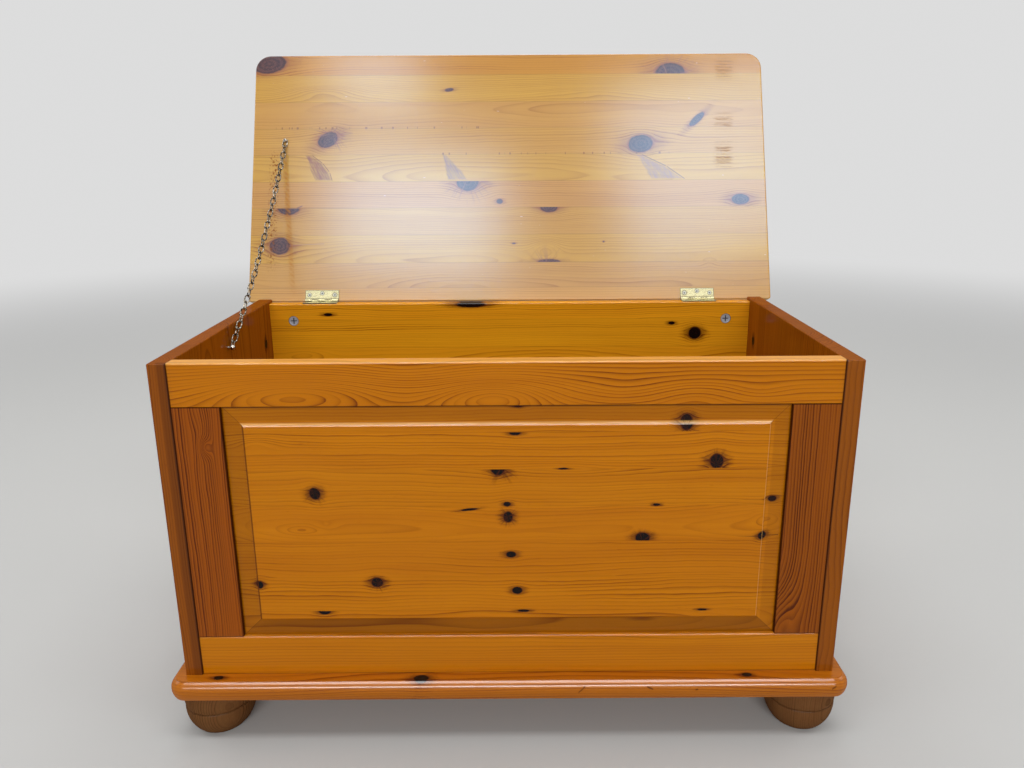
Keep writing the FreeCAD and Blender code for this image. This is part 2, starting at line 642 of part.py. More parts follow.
def connector_cam(name, turn, bolt_turn, at):
    """A cam with a cross slot in its face and a hole in its side for the bolt's head."""
    disc = primitive("Cylinder", f"{name}_disc", at=("0", "0", "-cam_deep"),
                     Radius="cam_radius", Height="cam_deep")
    dish = primitive("Cylinder", f"{name}_dish", at=("0", "0", "-0.8"), Radius="cam_radius - 1.4", Height="2")
    bore = primitive("Cylinder", f"{name}_bore", bolt_turn, ("0", "0", "cam_sunk - bolt_depth"),
                     Radius="bolt_ball + 0.6", Height="cam_radius + 1")
    slot = cross_slot(f"{name}_slot", "cam_radius * 1.25", "slot_wide * 1.6", "3.6")
    return turned_to(cut(name, disc, [dish, bore] + slot), turn, at)


def connector_bolt(name, turn, at):
    """A steel bolt: thread in the side board, neck across the joint, head inside the cam."""
    reach = "(cam_from_side - 1)"
    body = fuse(name, [
        primitive("Cylinder", f"{name}_thread", at=("0", "0", "-(bolt_in_side - 0.5)"),
                  Radius="bolt_radius", Height="bolt_in_side - 0.5"),
        primitive("Cylinder", f"{name}_collar", Radius="bolt_radius", Height="8"),
        primitive("Cylinder", f"{name}_neck", at=("0", "0", "7.9"), Radius="bolt_neck", Height=f"{reach} - 9"),
        primitive("Cylinder", f"{name}_ball", at=("0", "0", f"{reach} - 2.5"),
                  Radius="bolt_ball", Height="2.5")])
    return turned_to(body, turn, at)


def hinge_leaf(label, first_knuckle, on_lid):
    """One leaf of a hinge, drawn shut about the axis: below the axis, or above it for the lid's."""
    side = "1" if on_lid else "-1"
    plate_z = HINGE_FACE + " - leaf_thick" if on_lid else f"-{HINGE_FACE}"
    knuckle = "(hinge_long / 5)"
    own = range(first_knuckle, 5, 2)
    other = range(1 - first_knuckle, 5, 2)
    solid = [primitive("Box", f"{label}_plate", at=("-hinge_long / 2", "-leaf_reach", plate_z),
                       Length="hinge_long", Width="leaf_reach", Height="leaf_thick")]
    for number in own:
        solid.append(primitive(
            "Cylinder", f"{label}_knuckle", "+X",
            (f"{number} * {knuckle} - hinge_long / 2 + barrel_play / 2", "0", "0"),
            Radius="barrel_radius", Height=f"{knuckle} - barrel_play"))
        solid.append(primitive(
            "Box", f"{label}_bend",
            at=(f"{number} * {knuckle} - hinge_long / 2 + barrel_play / 2", "-barrel_radius",
                "0" if on_lid else plate_z),
            Length=f"{knuckle} - barrel_play", Width="leaf_thick", Height=HINGE_FACE))
    tools = [primitive("Cylinder", f"{label}_bore", "+X", ("-hinge_long / 2 - 1", "0", "0"),
                       Radius="pin_radius + pin_play", Height="hinge_long + 2")]
    for number in other:
        tools.append(primitive(
            "Box", f"{label}_notch",
            at=(f"{number} * {knuckle} - hinge_long / 2 - barrel_play / 2",
                "-(barrel_radius + barrel_play)", f"{side} * 2 - 2"),
            Length=f"{knuckle} + barrel_play", Width="barrel_radius + barrel_play + 1", Height="4"))
    for along, reach in LEAF_SCREWS:
        tools.append(primitive(
            "Cone", f"{label}_sink", "-Z" if on_lid else "+Z",
            (along, f"-{reach}", f"{side} * {HINGE_FACE}"),
            Radius1="hinge_screw_shank + 0.05", Radius2="hinge_screw_head + 0.05", Height="leaf_thick"))
    leaf = cut(label, fuse(f"{label}_solid", solid), tools)
    leaf.Label = label
    return leaf


# ---------------------------------------------------------------- chain

LAST_MOVING_LINK = 33
ALONG_Y = Vector(0, 1, 0)
ALONG_X = Vector(1, 0, 0)


def link_at(spot, direction, across):
    """One oval link: its middle at spot, its length along direction and its width along across."""
    wire = size("link_wire")
    bow = (size("link_wide") - wire) / 2
    half = (size("link_inner") + wire) / 2 - bow
    start, end = Vector(0, -bow, 0), Vector(half, -bow, 0)
    path = Part.Wire([
        Part.LineSegment(start, end).toShape(),
        Part.Arc(end, Vector(half + bow, 0, 0), Vector(half, bow, 0)).toShape(),
        Part.LineSegment(Vector(half, bow, 0), Vector(-half, bow, 0)).toShape(),
        Part.Arc(Vector(-half, bow, 0), Vector(-half - bow, 0, 0), Vector(-half, -bow, 0)).toShape(),
        Part.LineSegment(Vector(-half, -bow, 0), start).toShape()])
    ring = Part.Wire(Part.Circle(start, ALONG_X, wire / 2).toShape())
    link = path.makePipeShell([ring], True, False)
    link.Placement = Placement(spot, Rotation(direction, across, direction.cross(across), "XYZ"))
    return link


def screw_to_middle():
    """From a chain screw's axis to the middle of the link that hangs on it."""
    return size("link_inner / 2 - chain_screw_shank - link_play")


def lid_link_point(reach):
    """A point of the end link, drawn with the lid shut, at its reach from the lid's chain screw."""
    tilt = math.radians(size("end_link_tilt"))
    return Vector(-size("chain_lid_x"), reach * math.cos(tilt) - size("chain_lid_y"),
                  size(f"{HINGE_FACE} - end_link_down") - reach * math.sin(tilt))


def link_reaches():
    """Each moving link's length from joint to joint. A joint is the middle of the wire that runs
    along X, and every even link has such a wire at both its ends."""
    inner, wire, play = size("link_inner"), size("link_wire"), size("link_play")
    reaches = [inner - size("chain_screw_shank") - wire / 2 - 2 * play]
    for number in range(2, LAST_MOVING_LINK + 1):
        reaches.append(inner + wire if number % 2 == 0 else inner - wire - 2 * play)
    return reaches


def arc_joints(reaches, bend):
    """The joints of the links along an arc that turns by twice the bend, from the origin on."""
    joints, passed, total = [Vector()], 0.0, sum(reaches)
    for reach in reaches:
        angle = bend * (2 * (passed + reach / 2) / total - 1)
        joints.append(joints[-1] + Vector(0, math.cos(angle), math.sin(angle)) * reach)
        passed += reach
    return joints


def chain_joints():
    """The joints from the side board's screw to the lid's end link. The chain is a little longer
    than the way between them, so it hangs in a shallow arc."""
    start = Vector(-size("chain_screw_x"), size("chain_screw_y - origin_back"),
                   size(f"chain_screw_z + {BASE_TOP}"))
    closed_end = lid_link_point(screw_to_middle() + size("(link_inner + link_wire) / 2"))
    lid_turn = Rotation(Vector(-1, 0, 0), size("open_angle"))
    end = lid_turn.multVec(closed_end) + Vector(0, size(AXIS_Y), size(AXIS_Z))
    span = end - start
    across = span.x
    span.x = 0
    reaches = link_reaches()
    straighter, rounder = 0.0, 1.0
    for _ in range(60):
        bend = (straighter + rounder) / 2
        joints = arc_joints(reaches, bend)
        if joints[-1].Length > span.Length:
            straighter = bend
        else:
            rounder = bend
    turn = Rotation(joints[-1], span)
    spots, passed = [start], 0.0
    for reach, joint in zip(reaches, joints[1:]):
        passed += reach
        spots.append(start + turn.multVec(joint) + ALONG_X * across * passed / sum(reaches))
    return spots


def chain_stretch(label, first, last, joints, from_lid):
    """Links first to last as one stretch that turns about its end joint."""
    pivot = joints[last] if from_lid else joints[first - 1]
    links = []
    for number in range(first, last + 1):
        start, end = joints[number - 1], joints[number]
        direction = Vector(0, end.y - start.y, end.z - start.z).normalize()
        middle = (start + end) * 0.5
        if number == 1:
            middle = start + direction * screw_to_middle()
        across = ALONG_X if number % 2 == 0 else direction.cross(ALONG_X)
        links.append(link_at(middle - pivot, direction, across))
    stretch = doc.addObject("Part::Feature", label)
    stretch.Label = label
    stretch.Shape = Part.makeCompound(links)
    stretch.Placement = Placement(pivot, Rotation())
    print(f"joint {label} {pivot.x:.5f} {pivot.y:.5f} {pivot.z:.5f}")
    return stretch


def end_link(label):
    """The link under the lid's chain screw, tilted by the chain's pull."""
    tilt = math.radians(size("end_link_tilt"))
    link = link_at(lid_link_point(screw_to_middle()),
                   Vector(0, math.cos(tilt), -math.sin(tilt)), ALONG_X)
    item = doc.addObject("Part::Feature", label)
    item.Label = label
    item.Shape = Part.makeCompound([link])
    put_on_lid(item)
    return item


# ---------------------------------------------------------------- the chest

nodes = []


def keep(*items):
    nodes.extend(items)


keep(side_board("side_left", -1), side_board("side_right", 1))
keep(rail("top_rail", False), rail("bottom_rail", True))
keep(stile("stile_left", -1), stile("stile_right", 1))
keep(raised_panel("raised_panel"), back_board("back_board"))
board, base_screws = base_board("base_board")
keep(board)
for name, (x, y) in zip(("foot_front_left", "foot_front_right", "foot_rear_left", "foot_rear_right"),
                        FOOT_CENTRES):
    keep(bun_foot(name, x, y))
keep(lid_board("lid_board"))

hanger_bolts = []
for x, y in FOOT_CENTRES:
    hanger_bolts.append(primitive("Cylinder", "foot_bolt", at=(x, y, "foot_tall - foot_bolt_down"),
                                  Radius="foot_bolt_radius", Height="foot_bolt_down + foot_bolt_up"))
keep(group("foot_bolts", hanger_bolts))

keep(group("base_screws", [
    countersunk_screw("base_screw", "base_screw_head", "base_screw_shank", "base_screw_long", "3.2",
                      "slot_wide", "-Z", (x, f"{y} - origin_back", "foot_tall + base_screw_sunk"))
    for x, y in base_screws]))

dowels = []
for hand, turn in ((-1, "+X"), (1, "-X")):
    for y in (FRAME_DOWEL_Y, BACK_DOWEL_Y):
        for z in DOWEL_Z:
            at = (f"({hand}) * ({INSIDE_WIDE} / 2 + dowel_in_side)", f"{y} - origin_back", f"{z} + {BASE_TOP}")
            dowels.append(primitive("Cylinder", "dowel", turn, at,
                                    Radius="dowel_radius", Height="dowel_in_side + dowel_in_board - 0.3"))
keep(group("dowels", dowels))

front_cams, back_cams, bolts = [], [], []
for hand, turn, bolt_turn in ((-1, "+X", "-X"), (1, "-X", "+X")):
    x = f"({hand}) * {CAM_X}"
    bolt_x = f"({hand}) * {INSIDE_WIDE} / 2"
    for z in RAIL_BOLT_Z:
        front_cams.append(connector_cam(
            "front_cam", "+Y", bolt_turn,
            (x, "frame_setback + frame_thick - cam_sunk - origin_back", f"{z} + {BASE_TOP}")))
        bolts.append(connector_bolt("cam_bolt", turn,
                                    (bolt_x, f"{FRAME_BOLT_Y} - origin_back", f"{z} + {BASE_TOP}")))
    for z in BACK_BOLT_Z:
        back_cams.append(connector_cam(
            "back_cam", "-Y", bolt_turn, (x, f"{BACK_FRONT} + cam_sunk", f"{z} + {BASE_TOP}")))
        bolts.append(connector_bolt("cam_bolt", turn,
                                    (bolt_x, f"{BACK_BOLT_Y} - origin_back", f"{z} + {BASE_TOP}")))
keep(group("front_cams", front_cams), group("back_cams", back_cams), group("cam_bolts", bolts))

case_leaf_screws, lid_leaf_screws = [], []
for hand, name in ((-1, "left"), (1, "right")):
    middle = f"({hand}) * hinge_from_middle"
    case_leaf = hinge_leaf(f"hinge_case_leaf_{name}", 1 if hand < 0 else 0, on_lid=False)
    put(case_leaf, middle, AXIS_Y, AXIS_Z)
    lid_leaf = hinge_leaf(f"hinge_lid_leaf_{name}", 0 if hand < 0 else 1, on_lid=True)
    put_on_lid(lid_leaf, middle)
    hinge_pin = primitive("Cylinder", f"hinge_pin_{name}", "+X",
                          (f"{middle} - hinge_long / 2", AXIS_Y, AXIS_Z),
                          Radius="pin_radius", Height="hinge_long")
    keep(case_leaf, lid_leaf, hinge_pin)
    for along, reach in LEAF_SCREWS:
        sizes = ("hinge_screw_head", "hinge_screw_shank", "hinge_screw_long", "leaf_thick", "0.7")
        case_leaf_screws.append(countersunk_screw(
            "case_leaf_screw", *sizes, "+Z",
            (f"{middle} + {along}", f"{AXIS_Y} - {reach}", f"{AXIS_Z} - {HINGE_FACE} + leaf_thick")))
        lid_leaf_screws.append(countersunk_screw(
            "lid_leaf_screw", *sizes, "-Z",
            (f"{middle} + {along}", f"-{reach}", f"{HINGE_FACE} - leaf_thick")))
keep(group("hinge_case_screws", case_leaf_screws))
lid_screws = group("hinge_lid_screws", lid_leaf_screws)
put_on_lid(lid_screws)
keep(lid_screws)

case_stand = f"({INSIDE_WIDE} / 2 - chain_screw_x + link_wire / 2 + 0.3)"
case_screw = round_screw("chain_screw_case", case_stand, "+X", (
    "-chain_screw_x + link_wire / 2 + 0.3", "chain_screw_y - origin_back", f"chain_screw_z + {BASE_TOP}"))
lid_screw = group("chain_screw_lid", [round_screw("lid_chain_screw", "end_link_stand", "-Z", (
    "-chain_lid_x", "-chain_lid_y", f"{HINGE_FACE} - end_link_stand"))])
put_on_lid(lid_screw)
keep(case_screw, lid_screw, end_link("chain_end_link"))

joints = chain_joints()
for label, first, last, from_lid in (
        ("chain_case_1", 1, 9, False), ("chain_case_2", 10, 15, False),
        ("chain_lid_1", 25, 33, True), ("chain_lid_2", 20, 24, True), ("chain_lid_3", 18, 19, True),
        ("chain_lid_4", 17, 17, True), ("chain_lid_5", 16, 16, True)):
    keep(chain_stretch(label, first, last, joints, from_lid))
meeting = joints[15]
print(f"joint open_end {meeting.x:.5f} {meeting.y:.5f} {meeting.z:.5f}")
print(f"lid axis {size(AXIS_Y):.4f} {size(AXIS_Z):.4f}")

doc.recompute()
failed = [item.Label for item in doc.Objects if {"Invalid", "Error"} & set(item.State)]
for node in nodes:
    if node.Shape.isNull() or not node.Shape.isValid() or not node.Shape.Solids:
        failed.append(node.Label)
if failed:
    raise RuntimeError(f"not built: {failed}")

for node in nodes:
    node.Shape.exportStep(f"parts/{node.Label}.step")
box = Part.makeCompound([node.Shape for node in nodes]).optimalBoundingBox()
print(f"{len(nodes)} nodes, {box.XLength:.1f} x {box.YLength:.1f} x {box.ZLength:.1f} mm")
if max(abs(box.Center.x), abs(box.Center.y), abs(box.ZMin)) > 0.1:
    raise RuntimeError("the origin isn't under the middle of the box")
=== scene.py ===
import math
import random

import bpy
from mathutils import Matrix, Vector

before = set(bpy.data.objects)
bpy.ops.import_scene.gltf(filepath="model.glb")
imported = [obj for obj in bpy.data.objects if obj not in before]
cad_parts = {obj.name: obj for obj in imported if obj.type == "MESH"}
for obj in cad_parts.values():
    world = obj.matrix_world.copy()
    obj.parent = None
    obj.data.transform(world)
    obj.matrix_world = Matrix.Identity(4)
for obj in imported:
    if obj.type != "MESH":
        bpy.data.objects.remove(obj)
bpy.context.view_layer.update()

# places on the chest, in mm from the middle of its floor area
MM = 0.001
AXIS_Y, AXIS_Z = 118.7, 454.8              # hinge axis
LEAF_FACE = 2.45                           # the lid's underside, from the hinge axis
LID_ANGLE = math.radians(110.9)            # the open lid, from shut
BASE_FRONT, BASE_UNDER = -276.8, 55.5      # base board
FLOOR_TO_CASE = 78.5                       # the case stands on the base board's top
SIDE_FRONT, FRONT_FACE = -258.3, -256.3    # front of the side boards, and of the frame between them
BACK_INNER = 101.7                         # back board's inner face
SIDE_OUTER, SIDE_INNER = 380.0, 360.0      # side boards' faces, from the middle
RAIL_EDGES = (49.3, 329.2)                 # the rails' edges that face the panel, above the base board
STILE_EDGE = 308.0                         # the stiles' edges that face the panel, from the middle
FOOT_X, FOOT_FRONT, FOOT_REAR = 352.5, -231.8, 72.7
HINGE_X = 285.0                            # middles of the two hinges, from the chest's middle
HINGE_SCREWS = ((-19.1, 8.6), (0.0, 11.2), (19.1, 8.6))    # along the leaf, and from the hinge axis
CAM_MIDDLE, CAM_REACH = -68.3, 170.6       # halfway between front and back cams' faces, and how far off
CAM_X = 325.5                              # cams, from the middle
CAM_LEVEL, CAM_SPREAD = 194.0, 154.0       # cams' mean height above the base board, and how far off it
CHAIN_CASE_Y, CHAIN_CASE_Z = -76.8, 430.3  # the chain's screw in the side board
CHAIN_LID_X, CHAIN_LID_UP = -347.5, 251.8  # its screw in the lid, and how far up from the hinge axis


# ------------------------------------------------------------------ node trees written as arithmetic

class Tree:
    """A material's node tree. Its methods add nodes and return Val objects."""

    def __init__(self, name):
        self.material = bpy.data.materials.new(name)
        self.material.use_nodes = True
        self.nodes = self.material.node_tree.nodes
        self.links = self.material.node_tree.links
        self.nodes.clear()

    def add(self, kind, inputs=(), **settings):
        node = self.nodes.new(kind)
        for key, value in settings.items():
            setattr(node, key, value)
        for key, value in dict(inputs).items():
            socket = node.inputs[key]
            if isinstance(value, Val):
                self.links.new(value.socket, socket)
            else:
                socket.default_value = value
        return node

    def math(self, operation, *values):
        node = self.add("ShaderNodeMath", dict(enumerate(values)), operation=operation)
        return Val(self, node.outputs[0])

    def least(self, first, *others):
        for other in others:
            first = self.math("MINIMUM", first, other)
        return first

    def most(self, first, *others):
        for other in others:
            first = self.math("MAXIMUM", first, other)
        return first

    def absolute(self, value):
        return self.math("ABSOLUTE", value)

    def length(self, x, y):
        return self.math("SQRT", x * x + y * y)

    def vector(self, operation, *values, output=0):
        node = self.add("ShaderNodeVectorMath", dict(enumerate(values)), operation=operation)
        return Val(self, node.outputs[output])

    def along(self, point, axes):
        """How far a point in metres lies along each axis, in mm."""
        return [self.vector("DOT_PRODUCT", point, Vector(axis) / MM, output=1) for axis in axes]

    def xyz(self, x, y, z):
        return Val(self, self.add("ShaderNodeCombineXYZ", {0: x, 1: y, 2: z}).outputs[0])

    def noise(self, at, scale, detail, rough):
        node = self.add("ShaderNodeTexNoise", {"Vector": at, "Scale": scale, "Detail": detail,
                                               "Roughness": rough})
        return Val(self, node.outputs[0])

    def random(self, number):
        node = self.add("ShaderNodeTexWhiteNoise", {"W": number}, noise_dimensions="1D")
        return Val(self, node.outputs["Value"])

    def range(self, value, low, high, to_low=0.0, to_high=1.0, smooth=False):
        node = self.add("ShaderNodeMapRange", {0: value, 1: low, 2: high, 3: to_low, 4: to_high},
                        interpolation_type="SMOOTHSTEP" if smooth else "LINEAR")
        return Val(self, node.outputs[0])

    def mix(self, share, first, second, blend="MIX"):
        node = self.nodes.new("ShaderNodeMix")
        node.data_type = "RGBA"
        node.blend_type = blend
        for index, value in ((0, share), (6, first), (7, second)):
            if isinstance(value, Val):
                self.links.new(value.socket, node.inputs[index])
            else:
                node.inputs[index].default_value = (*value, 1.0) if isinstance(value, tuple) else value
        return Val(self, node.outputs[2])

    def steps(self, value, levels):
        """Three numbers for each whole value from 0 up, out of a table with a row for each."""
        node = self.nodes.new("ShaderNodeValToRGB")
        ramp = node.color_ramp
        ramp.interpolation = "CONSTANT"
        count = len(levels)
        while len(ramp.elements) < count:
            ramp.elements.new(1.0)
        for number, level in enumerate(levels):
            ramp.elements[number].position = number / count
            ramp.elements[number].color = (*level, 1.0)
        self.links.new(((value + 0.5) / count).socket, node.inputs[0])
        split = self.add("ShaderNodeSeparateColor")
        self.links.new(node.outputs[0], split.inputs[0])
        return [Val(self, split.outputs[channel]) for channel in range(3)]

    def bump(self, height, strength, distance):
        node = self.add("ShaderNodeBump", {"Height": height, "Strength": strength, "Distance": distance})
        return Val(self, node.outputs[0])

    def surface(self, **inputs):
        """The finished Principled surface. Keys are socket names with _ for a space."""
        shader = self.add("ShaderNodeBsdfPrincipled")
        for key, value in inputs.items():
            socket = shader.inputs[key.replace("_", " ")]
            if isinstance(value, Val):
                self.links.new(value.socket, socket)
            else:
                socket.default_value = (*value, 1.0) if isinstance(value, tuple) else value
        out = self.add("ShaderNodeOutputMaterial")
        self.links.new(shader.outputs[0], out.inputs[0])
        return self.material


class Val:
    """A socket's value. Arithmetic on it adds Math nodes."""

    def __init__(self, tree, socket):
        self.tree, self.socket = tree, socket

    def __add__(self, other):
        return self.tree.math("ADD", self, other)

    def __sub__(self, other):
        return self.tree.math("SUBTRACT", self, other)

    def __rsub__(self, other):
        return self.tree.math("SUBTRACT", other, self)

    def __mul__(self, other):
        return self.tree.math("MULTIPLY", self, other)

    def __truediv__(self, other):
        return self.tree.math("DIVIDE", self, other)

    def __pow__(self, other):
        return self.tree.math("POWER", self, other)

    __radd__ = __add__
    __rmul__ = __mul__


# ------------------------------------------------------------------ pine

OUTER_STAVE = 20.0                     # an outermost stave's middle, beyond its joint, mm
PITH_REACH, PITH_SPAN = 600.0, 1600.0  # mm; they bring a pith's place into a colour ramp's 0 to 1
FAR_AWAY = 60.0                        # square distance that ends a knot at a joint
END_GRAIN = (0.55, 0.95)               # how squarely a face cuts the grain, from none to all end grain


def wood_axes(tree, origin, along, across, depth):
    """Millimetres along the grain, across it and into the board, and how much end grain shows."""
    place = tree.add("ShaderNodeTexCoord")
    point = Val(tree, place.outputs["Object"])
    normal = Val(tree, place.outputs["Normal"])
    from_origin = tree.vector("SUBTRACT", point, Vector(origin) * MM)
    u, v, w = tree.along(from_origin, (along, across, depth))
    end = tree.absolute(tree.vector("DOT_PRODUCT", normal, Vector(along), output=1))
    return u, v, w, end


def inside_corners(tree, u, v, corners, soft):
    """1 inside a convex outline given anticlockwise in (u, v), 0 outside, over a border soft mm wide."""
    gaps = []
    for (u0, v0), (u1, v1) in zip(corners, corners[1:] + corners[:1]):
        length = math.hypot(u1 - u0, v1 - v0)
        over, rise = (v0 - v1) / length, (u1 - u0) / length
        gaps.append(tree.math("MULTIPLY_ADD", u, over, v * rise - (over * u0 + rise * v0)))
    return tree.range(tree.least(*gaps), 0.0, soft, smooth=True)


def thin_line(tree, u, v, start, finish, width):
    """A thin line from start to finish, strongest in its middle."""
    length = math.hypot(finish[0] - start[0], finish[1] - start[1])
    go = ((finish[0] - start[0]) / length, (finish[1] - start[1]) / length)
    along_line = (u - start[0]) * go[0] + (v - start[1]) * go[1]
    off_line = tree.absolute((v - start[1]) * go[0] - (u - start[0]) * go[1])
    share = tree.range(off_line, 0.3 * width, width, 0.8, 0.0) * tree.range(along_line, 0.0, 2.0)
    return share * tree.range(along_line, length - 2.0, length, 1.0, 0.0)


def fan(tree, u, v, middle, near, far, low, high, spokes=9.0):
    """Thin streaks that radiate from a point, fading between two distances, between two v limits."""
    du, dv = u - middle[0], v - middle[1]
    distance = tree.length(du, dv)
    angle = tree.math("ARCTAN2", dv, du)
    streak = tree.noise(tree.xyz(angle * spokes, distance * 0.02, middle[0]), 1.0, 3.0, 0.6)
    share = tree.range(streak, 0.50, 0.62, smooth=True) * tree.range(distance, near, far, 1.0, 0.0)
    return share * tree.range(v, low - 0.5, low) * tree.range(v, high, high + 0.5, 1.0, 0.0)


def stave_looks(tree, index, staves, tints, pith_at, rng):
    """Each stave's tint, two numbers of its own, and where its pith lies across the board."""
    edges = sorted(staves)
    middles = [0.0]
    if edges:
        between = [(low + high) / 2 for low, high in zip(edges, edges[1:])]
        middles = [edges[0] - OUTER_STAVE] + between + [edges[-1] + OUTER_STAVE]
    tint_levels, seed_levels = [], []
    for number, middle in enumerate(middles):
        shade = rng.uniform(0.94, 1.06)
        tint = tints[number] if number < len(tints) else (shade, shade * rng.uniform(0.96, 1.03), shade)
        tint_levels.append(tuple(0.5 * part for part in tint))
        offset = rng.uniform(-70.0, 70.0) if pith_at is None else pith_at
        seed_levels.append((rng.random(), rng.random(), (middle + offset + PITH_REACH) / PITH_SPAN))
    tint = tree.steps(index, tint_levels)
    seed_a, seed_b, centre = tree.steps(index, seed_levels)
    return tint, seed_a, seed_b, centre * PITH_SPAN - PITH_REACH if pith_at is None else pith_at


def round_knots(tree, u, v, knots, flow):
    """The grain's lines bent round each knot, and how far the nearest knot is.

    The first measure is the square of the distance in knot sizes, the second is stretched along the grain.
    """
    squares, long_squares = [], []
    for knot_u, knot_v, half_long, half_high, low, high, *tilt in knots:
        du, dv = u - knot_u, v - knot_v
        if tilt:
            cos, sin = math.cos(math.radians(tilt[0])), math.sin(math.radians(tilt[0]))
            du, dv = du * cos + dv * sin, dv * cos - du * sin
        across_knot, along_knot = dv / half_high, du / half_long
        across_square, along_square = across_knot * across_knot, along_knot * along_knot
        square = across_square + along_square
        long_square = across_square * 0.27 + along_square * 0.12
        for limit, side in ((low, -1), (high, 1)):
            if limit is not None:
                outside = tree.math("GREATER_THAN", (v - limit) * side, 0.0) * FAR_AWAY
                square, long_square = square + outside, long_square + outside
        flow = flow - across_knot * (half_high * 1.25) / (square * 0.8 + 0.55)
        squares.append(square)
        long_squares.append(long_square)
    return flow, tree.least(*squares), tree.least(*long_squares)


